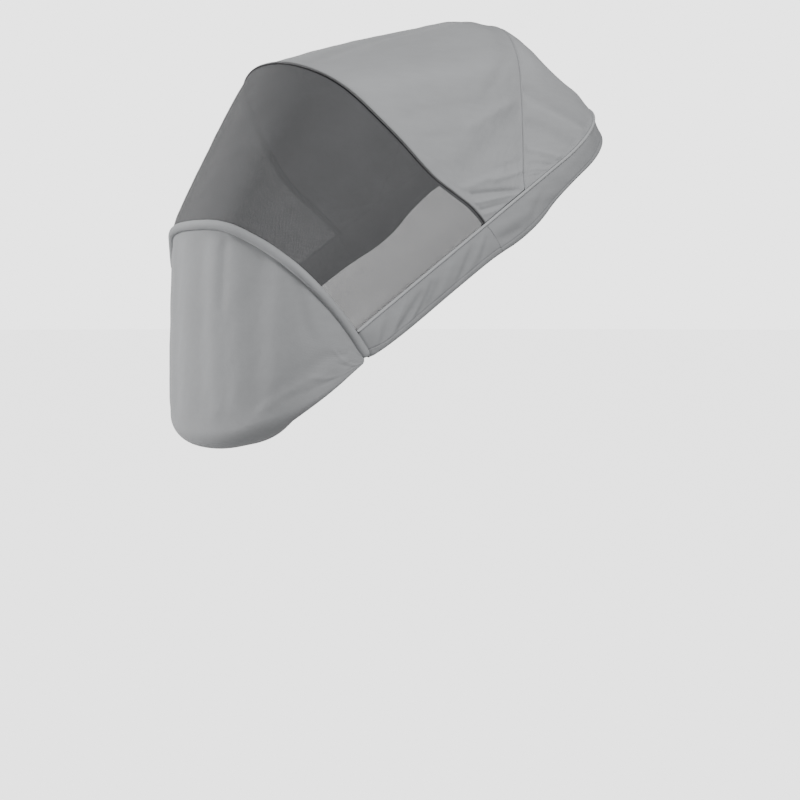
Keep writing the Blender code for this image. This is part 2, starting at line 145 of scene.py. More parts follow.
class NodeKit:
    """Adds nodes to one tree of them."""

    def __init__(self, tree: bpy.types.NodeTree) -> None:
        """Keep the tree."""
        self.tree = tree

    def add(self, kind: str, settings: dict | None = None, inputs: dict | None = None) -> bpy.types.Node:
        """Add a node, set it and join its inputs.

        Args:
            kind: The node's type.
            settings: Its properties by name.
            inputs: Numbers, colours, wires or sockets, by socket name or place.

        Returns:
            The node.
        """
        node = self.tree.nodes.new(kind)
        for key, value in (settings or {}).items():
            setattr(node, key, value)
        for key, value in (inputs or {}).items():
            self.join(value, node.inputs[key])
        return node

    def join(self, value: "Wire | Socket | float | Sequence", socket: Socket) -> None:
        """Link or set one input.

        Args:
            value: What the input takes.
            socket: The input.
        """
        if isinstance(value, Wire):
            value = value.socket
        if isinstance(value, Socket):
            self.tree.links.new(value, socket)
        else:
            socket.default_value = value

    def show_glow(self, plain: bpy.types.Node, glow: bpy.types.Node, share: float, output: str) -> None:
        """Show the camera a glow over a plain shader, which all other rays meet alone.

        Args:
            plain: The plain shader.
            glow: The glow.
            share: The glow's share in what the camera sees.
            output: The name of the tree's output node.
        """
        seen = Wire(self, self.add("ShaderNodeLightPath").outputs["Is Camera Ray"]) * share
        mixed = self.add("ShaderNodeMixShader", inputs={0: seen, 1: plain.outputs[0], 2: glow.outputs[0]})
        self.join(mixed.outputs[0], self.tree.nodes[output].inputs["Surface"])


class FinishKit(NodeKit):
    """Adds the nodes of one finish to a material of its own."""

    def __init__(self, name: str) -> None:
        """Start a material that holds a Principled shader alone."""
        self.material = bpy.data.materials.new(name)
        self.material.use_nodes = True
        super().__init__(self.material.node_tree)
        self.shader = self.tree.nodes["Principled BSDF"]

    def cloth_place(self) -> tuple[Wire, Wire]:
        """Return the two cloth coordinates, in metres along and across the cut."""
        place = self.add("ShaderNodeUVMap", {"uv_map": UV_NAME})
        parts = self.add("ShaderNodeSeparateXYZ", inputs={0: place.outputs[0]})
        return Wire(self, parts.outputs[0]), Wire(self, parts.outputs[1])

    def clouds(self, scale: float, detail: float, stretch: Shade = (1.0, 1.0, 1.0)) -> Wire:
        """Return soft noise on the object's own coordinates.

        Args:
            scale: How fine the noise is, per metre.
            detail: Its octaves.
            stretch: Its scale along each axis.

        Returns:
            The noise, about 0 to 1.
        """
        place = self.add("ShaderNodeTexCoord").outputs["Object"]
        turned = self.add("ShaderNodeMapping", inputs={"Vector": place, "Scale": stretch})
        inputs = {"Vector": turned.outputs[0], "Scale": scale, "Detail": detail}
        return Wire(self, self.add("ShaderNodeTexNoise", inputs=inputs).outputs["Fac"])

    def attribute(self, name: str) -> Wire:
        """Return a number that the mesh carries at its points."""
        return Wire(self, self.add("ShaderNodeAttribute", {"attribute_name": name}).outputs["Fac"])

    def blend(self, share: Wire, first: Shade, second: Shade) -> Socket:
        """Mix two colours.

        Args:
            share: How much of the second shows.
            first: The first colour, linear.
            second: The second colour, linear.

        Returns:
            The colour socket.
        """
        settings = {"data_type": "RGBA", "clamp_factor": True}
        node = self.add("ShaderNodeMix", settings, {0: share, 6: (*first, 1.0), 7: (*second, 1.0)})
        return node.outputs[2]

    def raise_by(self, height: Wire, depth: float) -> None:
        """Feed a bump of a depth in metres to the shader's Normal."""
        node = self.add("ShaderNodeBump", inputs={"Height": height, "Distance": depth, "Strength": 1.0})
        self.join(node.outputs[0], self.shader.inputs["Normal"])

    def settle(self, **values: "Wire | Socket | float") -> None:
        """Set or feed the shader's inputs, an underscore standing for a space."""
        for key, value in values.items():
            self.join(value, self.shader.inputs[key.replace("_", " ")])


# ------------------------------------------------------------------------------- finishes


def shades(tone: Shade, contrast: float) -> tuple[Shade, Shade]:
    """Return the dark and the light shade of a tone."""
    dark = tuple(channel * (1.0 - contrast) for channel in tone)
    return dark, tuple(min(1.0, channel * (1.0 + contrast)) for channel in tone)


@dataclass(frozen=True)
class WovenFinish:
    """A plain-woven cloth: fine yarns, faint streaks and clouds, with painted highlight on its fold ridges
    and painted shade in its fold troughs.
    """

    name: str
    slot: str
    tone: Shade
    contrast: float = 0.10
    yarn: float = 0.80 * MM
    relief: float = 0.10 * MM
    roughness: float = 0.78
    roughness_width: float = 0.12
    sheen: float = 0.12
    sheen_roughness: float = 0.45
    gloss: float = 0.30
    cloud_scale: float = 9.0
    streak_scale: float = 140.0
    streak_stretch: Shade = (1.0, 0.12, 1.0)
    # What clouds, streaks, weave and the painted fold shade add to the tone, then what weave and streaks add
    # to the relief.
    tone_and_shade_parts: tuple[float, float, float, float] = (0.9, 0.5, 0.16, 0.35)
    relief_parts: tuple[float, float] = (0.7, 0.6)

    def material(self) -> bpy.types.Material:
        """Return the cloth's material."""
        kit = FinishKit(self.name)
        across, down = kit.cloth_place()
        turn = math.pi / self.yarn
        weave = (across * turn).sine() * (down * turn).sine()
        clouds = kit.clouds(self.cloud_scale, 3.0)
        streaks = kit.clouds(self.streak_scale, 2.0, self.streak_stretch)
        # Painted shade and highlight: the fold attribute darkens the colour in troughs and lightens it on
        # ridges.
        fold = kit.attribute(FOLD_SHADE_NAME)
        by_cloud, by_streak, by_weave, by_fold_shade = self.tone_and_shade_parts
        share = 0.5 + (clouds - 0.5) * by_cloud + (streaks - 0.5) * by_streak
        share = share + weave * by_weave + fold * by_fold_shade
        kit.settle(
            Base_Color=kit.blend(share, *shades(self.tone, self.contrast)),
            Roughness=streaks.around(self.roughness, self.roughness_width),
            Sheen_Weight=self.sheen,
            Sheen_Roughness=self.sheen_roughness,
            Specular_IOR_Level=self.gloss,
        )
        kit.raise_by(weave * self.relief_parts[0] + streaks * self.relief_parts[1], self.relief)
        return kit.material


@dataclass(frozen=True)
class NetFinish:
    """A fine sheer mesh of dark yarn, open between its crossing threads."""

    name: str = "net_dark"
    slot: str = "dark_net"
    tone: Shade = (0.086, 0.087, 0.090)
    lift: float = 1.4
    pitch: float = 1.80 * MM
    # The thread's half width and its soft edge, as shares of the half pitch, then how solid the
    # net is on a thread and between them.
    thread: float = 0.42
    edge: float = 0.16
    solid: float = 0.96
    hole: float = 0.45
    relief: float = 0.15 * MM
    roughness: float = 0.62
    roughness_width: float = 0.10
    sheen: float = 0.10
    gloss: float = 0.25
    cloud_scale: float = 14.0

    def material(self) -> bpy.types.Material:
        """Return the net's material."""
        kit = FinishKit(self.name)
        across, down = kit.cloth_place()
        turn = math.pi / self.pitch
        first = ((across + down) * turn).sine().size()
        second = ((across - down) * turn).sine().size()
        from_thread = first.lesser(second)
        clouds = kit.clouds(self.cloud_scale, 2.0)
        light = tuple(channel * self.lift for channel in self.tone)
        kit.settle(
            Base_Color=kit.blend(clouds, self.tone, light),
            Roughness=clouds.around(self.roughness, self.roughness_width),
            Alpha=from_thread.ease(self.thread, self.thread + self.edge, self.solid, self.hole),
            Sheen_Weight=self.sheen,
            Specular_IOR_Level=self.gloss,
        )
        kit.raise_by(1.0 - from_thread, self.relief)
        return kit.material


@dataclass(frozen=True)
class SmoothFinish:
    """Drawn plastic, twisted thread or paint, with a soft gloss and faint clouds."""

    name: str
    slot: str
    tone: Shade
    roughness: float
    roughness_width: float = 0.12
    contrast: float = 0.15
    grain: float = 900.0
    relief: float = 0.03 * MM

    def material(self) -> bpy.types.Material:
        """Return the finish's material."""
        kit = FinishKit(self.name)
        clouds = kit.clouds(self.grain, 2.0)
        kit.settle(
            Base_Color=kit.blend(clouds, *shades(self.tone, self.contrast)),
            Roughness=clouds.around(self.roughness, self.roughness_width),
        )
        kit.raise_by(clouds, self.relief)
        return kit.material


HOOD_CLOTH = WovenFinish("hood_grey_weave", "grey_cloth", (0.352, 0.359, 0.368))
# Painted shade: the foot cover is a darker copy of the hood's grey cloth, standing in for the weaker light
# on it.
SHADED_FOOT_CLOTH = WovenFinish("foot_grey_weave_shaded", "grey_cloth", (0.326, 0.332, 0.341))
BAND_CLOTH = WovenFinish("band_grey_weave", "band_cloth", (0.288, 0.294, 0.302), contrast=0.14)
ROLL_CLOTH = WovenFinish("binding_grey_weave", "grey_cloth", (0.330, 0.337, 0.346))
PIPE_CLOTH = WovenFinish("piping_grey_weave", "band_cloth", (0.420, 0.427, 0.436), relief=0.07 * MM)
TAPE_CLOTH = WovenFinish("zip_tape_weave", "dark_zip", (0.022, 0.022, 0.023), contrast=0.25, sheen=0.05)
COIL_PLASTIC = SmoothFinish("zip_coil_plastic", "dark_zip", (0.18, 0.18, 0.185), 0.34)
GREY_THREAD = SmoothFinish("grey_thread", "grey_cloth", (0.26, 0.265, 0.272), 0.62)
FLOOR_PAINT = SmoothFinish("pale_floor", "floor", (0.45, 0.45, 0.45), 0.75, contrast=0.01, grain=3.0)


# ---------------------------------------------------------------------------------- lines


def unit(vectors: Points) -> Points:
    """Return the vectors at length one."""
    return vectors / np.maximum(np.linalg.norm(vectors, axis=-1, keepdims=True), 1e-12)


def run_of(points: Points, axis: int = 0) -> Points:
    """Return the running length at each point of a line or a grid, along one of its axes.

    Args:
        points: The line, (n, 3), or the grid, (rows, columns, 3).
        axis: The axis to run along.

    Returns:
        The lengths, 0 at the start.
    """
    steps = np.linalg.norm(np.diff(points, axis=axis), axis=-1)
    start = np.zeros_like(np.take(steps, [0], axis))
    return np.concatenate([start, np.cumsum(steps, axis=axis)], axis=axis)


def sampled(values: Points, run: Points, lengths: Points) -> Points:
    """Return rows of values that lie along a run, read at other lengths of it."""
    return np.stack([np.interp(lengths, run, column) for column in values.T], axis=-1)


def at_shares(points: Points, shares: Points) -> Points:
    """Return the points of a line at fractions of its length.

    Args:
        points: The line.
        shares: The fractions, 0 to 1.

    Returns:
        One point for each fraction.
    """
    run = run_of(points)
    return sampled(points, run, shares * run[-1])


def smooth_line(points: Points, steps: int = 24) -> Points:
    """Return a fine Catmull-Rom line through the points.

    Args:
        points: The points to pass through.
        steps: How many pieces each span gets.

    Returns:
        The fine line.
    """
    points = np.asarray(points, float)
    padded = np.concatenate([[2 * points[0] - points[1]], points, [2 * points[-1] - points[-2]]])
    share = np.linspace(0, 1, steps, endpoint=False)[:, None]
    spans = [
        first
        + 0.5 * share * (second - before)
        + share**2 * (before - 2.5 * first + 2 * second - 0.5 * after)
        + share**3 * (1.5 * first - 1.5 * second + 0.5 * after - 0.5 * before)
        for before, first, second, after in zip(padded, padded[1:], padded[2:], padded[3:])
    ]
    return np.concatenate([*spans, points[-1:]])


def both_sides(half: Points) -> Points:
    """Return the line of a near half and its mirrored far half, foot to foot."""
    return np.concatenate([half, half[-2::-1] * np.array([1.0, 1.0, -1.0])])


def arch(half: Points) -> Points:
    """Return the smooth arch of a half, given from its foot up to the middle.

    Args:
        half: The near half's points, the last of them in the middle.

    Returns:
        The fine line from the near foot to the far one.
    """
    mirrored = half[-2] * np.array([1.0, 1.0, -1.0])
    line = smooth_line(np.concatenate([half, [mirrored]]))
    line = line[line[:, 2] >= 0.0]
    line[-1, 2] = 0.0
    return both_sides(line)


def spread(count: int, density: float = 0.5) -> Points:
    """Return fractions from 0 to 1 that lie closer together towards both ends."""
    even = np.linspace(0, 1, count)
    return even - density * np.sin(2 * math.pi * even) / (2 * math.pi)


def step_up(values: Points, low: float, high: float) -> Points:
    """Return 0 up to low and 1 past high, with a soft step between."""
    share = np.clip((values - low) / (high - low), 0.0, 1.0)
    return share * share * (3.0 - 2.0 * share)


def bell(values: Points, middle: float, width: float) -> Points:
    """Return 1 at a middle value, falling off softly over a width to each side."""
    return np.exp(-(((values - middle) / width) ** 2))


def dome(across: Points, down: Points) -> Points:
    """Return a panel's swell at fractions of its size, 0 along its edges and 1 in its middle."""
    return np.sin(math.pi * down) * np.sin(math.pi * across) ** 0.5


def to_end(shares: Points) -> Points:
    """Return how far each fraction is from the nearer end."""
    return np.minimum(shares, 1 - shares)


def square_to(vectors: Points, axes: Points) -> Points:
    """Return unit vectors turned square to the axes, which have length one."""
    return unit(vectors - (vectors * axes).sum(-1, keepdims=True) * axes)


def evened(vectors: Points, reach: int = 12) -> Points:
    """Return unit vectors, each averaged with its neighbours along the line.

    Args:
        vectors: The vectors along a line.
        reach: How many neighbours count on each side.

    Returns:
        The averaged vectors.
    """
    padded = np.pad(vectors, ((reach, reach), (0, 0)), mode="edge")
    window = np.hanning(2 * reach + 3)[1:-1]
    return unit(np.stack([np.convolve(column, window, "valid") for column in padded.T], axis=-1))


@dataclass
class Pattern:
    """The maker's lines, on the slanted plane of the rim: along, rise and side, in metres."""

    slope: float = math.radians(34.0)
    mount_along: float = -0.223
    mount_rise: float = 0.2055
    half_width: float = 0.184
    piping_radius: float = 2.3 * MM
    binding_radius: float = 6.6 * MM
    zip_half: float = 2.9 * MM
    seam_foot: float = -0.085
    seam_lean: float = math.radians(48.5)
    rear_start: float = -0.170
    rear_length: float = 0.195
    corner: float = 0.2625
    toe_start: float = 0.300
    toe_length: float = 0.1590
    toe_power: float = 2.2
    toe_rise: float = -0.041
    band_depth: float = 0.038
    band_front: float = 0.2590
    # Columns: rise, along, side.
    brim_rows: tuple = (
        (0.000, 0.000, 0.1840),
        (0.020, 0.0045, 0.1848),
        (0.040, 0.0110, 0.1838),
        (0.067, 0.0225, 0.1795),
        (0.096, 0.0350, 0.1755),
        (0.126, 0.0437, 0.1730),
        (0.155, 0.0488, 0.1680),
        (0.183, 0.0532, 0.1600),
        (0.210, 0.0571, 0.1500),
        (0.236, 0.0606, 0.1390),
        (0.260, 0.0648, 0.1260),
        (0.281, 0.0700, 0.1090),
        (0.298, 0.0742, 0.0850),
        (0.310, 0.0768, 0.0580),
        (0.317, 0.0785, 0.0290),
        (0.319, 0.0795, 0.0000),
    )
    binding_rows: tuple = (
        (-0.0360, 0.2665, 0.1810),
        (0.0090, 0.2690, 0.1805),
        (0.0400, 0.2730, 0.1800),
        (0.0720, 0.2785, 0.1775),
        (0.1000, 0.2825, 0.1690),
        (0.1240, 0.2850, 0.1530),
        (0.1454, 0.2866, 0.1310),
        (0.1667, 0.2899, 0.1050),
        (0.1850, 0.2943, 0.0770),
        (0.1935, 0.2972, 0.0430),
        (0.1960, 0.2990, 0.0000),
    )
    # Columns: height in the seam's leaning plane, side.
    seam_rows: tuple = (
        (0.000, 0.1840),
        (0.030, 0.1725),
        (0.088, 0.1540),
        (0.148, 0.1335),
        (0.197, 0.1140),
        (0.229, 0.0940),
        (0.252, 0.0720),
        (0.267, 0.0470),
        (0.274, 0.0230),
        (0.276, 0.0000),
    )

    def world(self, points: Points) -> Points:
        """Turn (along, rise, side) points into the frame's x, y and z."""
        along, rise, side = np.moveaxis(np.asarray(points, float), -1, 0)
        along, rise = along - self.mount_along, rise - self.mount_rise
        lean, dip = math.cos(self.slope), math.sin(self.slope)
        return np.stack([side, -(along * lean + rise * dip), rise * lean - along * dip], axis=-1)

    def direction(self, vectors: Points) -> Points:
        """Turn (along, rise, side) directions into the frame's x, y and z."""
        return self.world(vectors) - self.world(np.zeros(3))

    @property
    def rim_clearance(self) -> float:
        """Return how far above the rim's line the panels end."""
        return self.piping_radius + 0.6 * MM

    def zip_share(self, shares: Points) -> Points:
        """Return the zip's width along the brim as a share of the full one, less at its feet."""
        return 0.55 + 0.45 * step_up(to_end(shares), 0.03, 0.22)

    def zip_side(self, shares: Points) -> Points:
        """Return how far from the brim's line the panels end."""
        return self.zip_half * self.zip_share(shares)[:, None]

    def above_rim(self, line: Points) -> Points:
        """Return the part of a line that lies above the rim's piping."""
        return line[line[:, 1] >= self.rim_clearance]

    def brim(self) -> Points:
        """Return the brim's arch, from just above the rim."""
        return self.above_rim(arch(np.asarray(self.brim_rows)[:, [1, 0, 2]]))

    def binding(self) -> Points:
        """Return the whole arch of the foot cover's binding."""
        return arch(np.asarray(self.binding_rows)[:, [1, 0, 2]])

    def net_foot(self, shares: Points) -> Points:
        """Return the binding's line where the net is sewn to it, at fractions of its length."""
        return at_shares(self.above_rim(self.binding()), shares)

    def seam(self) -> Points:
        """Return the bow of the hood's rear seam, from just above the rim."""
        height, side = np.asarray(self.seam_rows).T
        along = self.seam_foot - height * math.sin(self.seam_lean)
        return self.above_rim(arch(np.stack([along, height * math.cos(self.seam_lean), side], axis=-1)))

    def rounded(self, start: float, length: float, points: int, power: float = 1.0) -> tuple[Points, Points]:
        """Return a half outline: straight from the foot corner, then a rounded end.

        Args:
            start: Where the end starts, along.
            length: The end's length, negative towards the head.
            points: How many points lead up to the end.
            power: 1 for an ellipse, less for a squarer end.

        Returns:
            The outline's along and side.
        """
        angle = np.linspace(0, math.pi / 2, 160)
        straight = np.linspace(self.corner, start, points)[:-1]
        along = np.concatenate([straight, start + length * np.sin(angle) ** power])
        side = np.concatenate([np.ones(points - 1), np.cos(angle) ** power]) * self.half_width
        return along, side

    def rim(self, rise: float = 0.0) -> Points:
        """Return the rim from the near foot corner round the rear to the far one."""
        along, side = self.rounded(self.rear_start, -self.rear_length, 120)
        return both_sides(np.stack([along, np.full_like(along, rise), side], axis=-1))

    def toe(self) -> Points:
        """Return the foot cover's lower outline from the near corner round the toe."""
        along, side = self.rounded(self.toe_start, self.toe_length, 20, 2 / self.toe_power)
        share = (along - along[0]) / (along[-1] - along[0])
        rise = -self.band_depth + (self.toe_rise + self.band_depth) * share**2
        return both_sides(np.stack([along, rise, side], axis=-1))


PATTERN = Pattern()
HOLLOW = PATTERN.world(np.array([0.0, 0.08, 0.0]))


def outward(grid: Points) -> Points:
    """Return unit normals of a grid of points, turned away from the hollow."""
    normals = unit(np.cross(np.gradient(grid, axis=0), np.gradient(grid, axis=1)))
    return normals if ((grid - HOLLOW) * normals).sum() > 0 else -normals


def loft(first: Points, second: Points, shares: Points) -> Points:
    """Return rows of points between two lines.

    Args:
        first: The line at share 0.
        second: The line at share 1.
        shares: The rows' places.

    Returns:
        A grid of points.
    """
    return first + (second - first) * shares[:, None, None]


def drawn_in(line: Points, towards: Points, length: float | Points) -> Points:
    """Return a line moved towards another by a length, or by one for each point."""
    return line + unit(towards - line) * length


# ---------------------------------------------------------------------------------- folds


@dataclass(frozen=True)
class Fold:
    """One soft ridge, or a trough where its height is negative.

    Its ends are (across, down) fractions of its panel, and its sizes are metres.
    """

    start: tuple[float, float]
    end: tuple[float, float]
    width: float
    height: float
    bow: float = 0.0
    taper: float = 1.0

    def height_at(self, across: Points, down: Points, size: tuple[float, float]) -> Points:
        """Return the fold's height at each place.

        Args:
            across: Fractions across the panel.
            down: Fractions down the panel.
            size: The panel's lengths across and down.

        Returns:
            The heights.
        """
        scale = np.array(size)
        first = np.array(self.start) * scale
        leg = np.array(self.end) * scale - first
        reach = np.linalg.norm(leg)
        x, y = across * size[0] - first[0], down * size[1] - first[1]
        run = (x * leg[0] + y * leg[1]) / reach
        share = np.clip(run / reach, 0, 1)
        off = (x * leg[1] - y * leg[0]) / reach - self.bow * 4 * share * (1 - share)
        width = self.width * (1 + (self.taper - 1) * share)
        beyond = np.maximum(np.maximum(-run, run - reach), 0)
        return self.height * np.exp(-((off / width) ** 2) - (beyond / (2 * width)) ** 2)


@dataclass(frozen=True, kw_only=True)
class Relief:
    """What stands up from a panel: its folds, and faint waves that keep it from looking ironed."""

    seed: int
    depth: float
    folds: tuple[Fold, ...]

    def waves(self, across: Points, down: Points, count: int = 16) -> Points:
        """Return the heights of the faint waves.

        Args:
            across: Metres across the cloth at each place.
            down: Metres down the cloth.
            count: How many waves cross.

        Returns:
            The heights, about as high as depth.
        """
        chance = np.random.default_rng(self.seed)
        total = np.zeros_like(across)
        for _ in range(count):
            angle, length = chance.uniform(0, math.pi), chance.uniform(0.016, 0.070)
            phase, share = chance.uniform(0, 2 * math.pi), chance.uniform(0.3, 1.0)
            run = across * math.cos(angle) + down * math.sin(angle)
            total += share * np.sin(run * 2 * math.pi / length + phase)
        return self.depth * total / 3.0

    def height_at(self, across: Points, down: Points, size: tuple[float, float]) -> Points:
        """Return the height of folds and waves at each place.

        Args:
            across: Fractions across the panel.
            down: Fractions down the panel.
            size: The panel's lengths across and down.

        Returns:
            The heights.
        """
        total = np.zeros_like(across)
        for fold in self.folds:
            total += fold.height_at(across, down, size)
        return total + self.waves(across * size[0], down * size[1])


@dataclass(frozen=True, kw_only=True)
class Panel(Relief):
    """A panel between two lines: its rows and columns, its lengths across and down, and its relief."""

    grid: tuple[int, int]
    size: tuple[float, float]

    def places(self) -> tuple[Points, Points]:
        """Return the fractions across and down at each point."""
        return tuple(np.meshgrid(spread(self.grid[1]), np.linspace(0, 1, self.grid[0])))

    def plain(self, first: Points, second: Points) -> Points:
        """Return the smooth grid between two lines of the pattern, in the frame's axes."""
        return PATTERN.world(loft(first, second, np.linspace(0, 1, self.grid[0])))


def painted_fold_shade(height: Points, full: float = 4 * MM) -> Points:
    """Return the painted fold shade: -1, darkest, in a trough and 1, lightest, on a ridge that is as high as
    full.
    """
    return np.clip(height / full, -1, 1)


# ---------------------------------------------------------------------------------- edges


def in_metres(*steps: tuple[float, float]) -> tuple[tuple[float, float], ...]:
    """Return steps that are given in millimetres."""
    return tuple((first * MM, second * MM) for first, second in steps)


# Each step of an edge's way out of sight, from its last visible line: for a tuck, down from the
# piping and inward; for a seam, into the cloth and ahead.
PANEL_TUCK = in_metres((0.3, 0.25), (0.8, 1.2), (1.6, 2.0), (2.6, 2.5), (4.4, 2.6))
BAND_TUCK = in_metres((0.3, 0.25), (0.9, 1.4), (1.6, 2.4), (2.8, 3.3))
SEAM_LAP = in_metres((0.35, 0.0), (1.2, 0.1), (1.9, 1.0), (2.3, 2.6))
SEAM_TURN = in_metres((0.35, 0.0), (1.0, -0.15))


def behind_piping(edge: Points, inward: Points, tuck: tuple = PANEL_TUCK, way: float = -1.0) -> list[Points]:
    """Return lines that carry a sheet's edge on behind the rim's piping.

    Args:
        edge: The edge's points.
        inward: The direction into the hollow at each of them.
        tuck: The steps, as (down, inward) lengths.
        way: -1 for an edge above the piping and 1 for one below it.

    Returns:
        The lines, the edge left out.
    """
    up = PATTERN.direction(np.array([0.0, 1.0, 0.0]))
    return [edge + up * way * drop + inward * reach for drop, reach in tuck]


def tucked_ends(grid: Points) -> Points:
    """Return a panel's grid with both its ends carried on behind the piping.

    Args:
        grid: The panel's outer face.

    Returns:
        The wider grid.
    """
    near, far = np.array([-1.0, 0.0, 0.0]), np.array([1.0, 0.0, 0.0])
    first, last = behind_piping(grid[:, 0], near), behind_piping(grid[:, -1], far)
    return np.concatenate([np.stack(first[::-1], axis=1), grid, np.stack(last, axis=1)], axis=1)


def sewn_edge(grid: Points, steps: tuple, ahead: Points | None = None) -> Points:
    """Carry a panel's last row into its seam.

    Args:
        grid: The panel's outer face.
        steps: The way, as (depth, ahead) lengths.
        ahead: The direction past the seam at each point, or None to go straight on.

    Returns:
        The grid with the rows in the seam.
    """
    edge, face = grid[-1], outward(grid)[-1]
    lead = unit(edge - grid[-3]) if ahead is None else ahead
    return np.concatenate([grid, np.stack([edge - face * depth + lead * reach for depth, reach in steps])])


def sewn_side(grid: Points, steps: tuple) -> Points:
    """Carry a panel's last column into its seam, as sewn_edge does with a row."""
    return np.swapaxes(sewn_edge(np.swapaxes(grid, 0, 1), steps), 0, 1)


# --------------------------------------------------------------------------------- meshes


def placed(name: str, data: bpy.types.ID) -> Piece:
    """Return a new object that holds the data, linked into the scene.

    Args:
        name: The object's name.
        data: Its mesh, lamp or camera.

    Returns:
        The object.
    """
    piece = bpy.data.objects.new(name, data)
    bpy.context.scene.collection.objects.link(piece)
    return piece


def mesh_piece(name: str, points: Points, faces: Points, uv: Points, tone: Points | None = None) -> Piece:
    """Make a smooth mesh object.

    Args:
        name: The object's name.
        points: Its points, (n, 3).
        faces: Its four-sided faces, (m, 4).
        uv: The cloth coordinates of each face corner, (m, 4, 2).
        tone: The painted fold shade at each point, darker in troughs and lighter on ridges, or None.

    Returns:
        The object.
    """
    mesh = bpy.data.meshes.new(name)
    mesh.vertices.add(len(points))
    mesh.vertices.foreach_set("co", np.ascontiguousarray(points, np.float32).ravel())
    mesh.loops.add(faces.size)
    mesh.loops.foreach_set("vertex_index", np.ascontiguousarray(faces, np.int32).ravel())
    mesh.polygons.add(len(faces))
    mesh.polygons.foreach_set("loop_start", np.arange(0, faces.size, 4, dtype=np.int32))
    mesh.update(calc_edges=True)
    layer = mesh.uv_layers.new(name=UV_NAME)
    layer.data.foreach_set("uv", np.ascontiguousarray(uv, np.float32).ravel())
    values = np.zeros(len(points), np.float32) if tone is None else tone.astype(np.float32)
    mesh.attributes.new(FOLD_SHADE_NAME, "FLOAT", "POINT").data.foreach_set("value", values.ravel())
    mesh.validate()
    mesh.shade_smooth()
    return placed(name, mesh)


def grid_faces(rows: int, columns: int, closed: bool = False) -> Points:
    """Return the faces of a grid, whose columns join up if it is closed.

    Args:
        rows: The grid's rows.
        columns: Its columns.
        closed: Whether the last column joins the first.

    Returns:
        The faces, (m, 4).
    """
    wide = columns if closed else columns - 1
    row, column = np.meshgrid(np.arange(rows - 1), np.arange(wide), indexing="ij")
    start, after = row * columns + column, row * columns + (column + 1) % columns
    return np.stack([start, start + columns, after + columns, after], axis=-1).reshape(-1, 4)


def faces_inwards(points: Points, faces: Points, out: Points) -> bool:
    """Tell whether faces point against the outward direction at their first corners.

    Args:
        points: The points, (n, 3).
        faces: The faces, (m, 4).
        out: The outward direction at each face's first corner, (m, 3).

    Returns:
        True if they have to be turned.
    """
    corner = points[faces]
    facing = np.cross(corner[:, 1] - corner[:, 0], corner[:, 3] - corner[:, 0])
    return bool((facing * out).sum() < 0)


def sheet_piece(name: str, outer: Points, thickness: float, tone: Points | None = None) -> Piece:
    """Make a thin closed sheet from the grid of its outer face.

    Args:
        name: The object's name.
        outer: The outer face's points, (rows, columns, 3).
        thickness: The cloth's thickness.
        tone: The painted fold shade at each point, darker in troughs and lighter on ridges, or None.

    Returns:
        The object, with cloth coordinates in metres.
    """
    rows, columns = outer.shape[:2]
    count = rows * columns
    normals = outward(outer)
    flat, faces = outer.reshape(-1, 3), grid_faces(rows, columns)
    # The edge runs once round the grid, and the rim joins it to the inner face's edge.
    edge = np.r_[
        0 : columns - 1,
        columns - 1 : count - 1 : columns,
        count - 1 : count - columns : -1,
        count - columns : 0 : -columns,
    ]
    after = np.roll(edge, -1)
    rim = np.stack([edge, after, after + count, edge + count], axis=-1)
    if faces_inwards(flat, faces, normals.reshape(-1, 3)[faces[:, 0]]):
        faces, rim = faces[:, ::-1], rim[:, ::-1]
    every = np.concatenate([faces, faces[:, ::-1] + count, rim])
    across = run_of(outer, 1)
    across = across - across[:, [columns // 2]]
    place = np.stack([across + 0.5, run_of(outer) + 0.1], axis=-1).reshape(-1, 2)
    place = np.concatenate([place, place])
    points = np.concatenate([flat, (outer - normals * thickness).reshape(-1, 3)])
    tones = None if tone is None else np.concatenate([tone.ravel(), np.zeros(count)])
    return mesh_piece(name, points, every, place[every], tones)


def tube_piece(name: str, line: Points, radii: Points, sides: int, up: Points | None = None) -> Piece:
    """Make a closed tube along a line.

    Args:
        name: The object's name.
        line: The middle line's points.
        radii: The radius at each point.
        sides: Faces round the tube.
        up: A direction across the tube at each point, or None.

    Returns:
        The object, with cloth coordinates in metres.
    """
    tangent = unit(np.gradient(line, axis=0))
    guide = np.broadcast_to(np.array([0.0, 0.3, 1.0]), line.shape) if up is None else up
    rise = square_to(guide, tangent)
    side = np.cross(tangent, rise)
    turn = np.linspace(0, 2 * math.pi, sides, endpoint=False)
    ring = np.cos(turn)[None, :, None] * side[:, None] + np.sin(turn)[None, :, None] * rise[:, None]
    cap = np.array([0.55, 0.88])
    scale = np.concatenate([cap, np.ones(len(line) - 4), cap[::-1]])[:, None, None]
    rings = line[:, None] + ring * radii[:, None, None] * scale
    count = len(line) * sides
    points = np.concatenate([rings.reshape(-1, 3), line[:1], line[-1:]])
    faces = grid_faces(len(line), sides, closed=True)
    ring_of, place = faces // sides, faces % sides
    radius = radii.mean()
    wrapped = (place == 0) & (place.max(axis=1, keepdims=True) == sides - 1)
    around = np.where(wrapped, 2 * math.pi * radius, (turn * radius)[place])
    uv = np.stack([run_of(line)[ring_of], around], axis=-1)
    pairs = np.arange(0, sides, 2)
    first = np.stack([np.full(len(pairs), count), pairs, (pairs + 1) % sides, (pairs + 2) % sides], axis=-1)
    last = np.stack([first[:, 0] + 1, *(first[:, 3:0:-1] + count - sides).T], axis=-1)
    caps = np.concatenate([first, last])
    # Small places of their own keep the caps' cloth coordinates from folding onto a point.
    cap_uv = np.stack([caps % 7, caps % 5], axis=-1) * 0.5 * MM
    if faces_inwards(points, faces, points[faces[:, 0]] - line[ring_of[:, 0]]):
        faces, uv = faces[:, ::-1], uv[:, ::-1]
    else:
        caps, cap_uv = caps[:, ::-1], cap_uv[:, ::-1]
    return mesh_piece(name, points, np.concatenate([faces, caps]), np.concatenate([uv, cap_uv]))


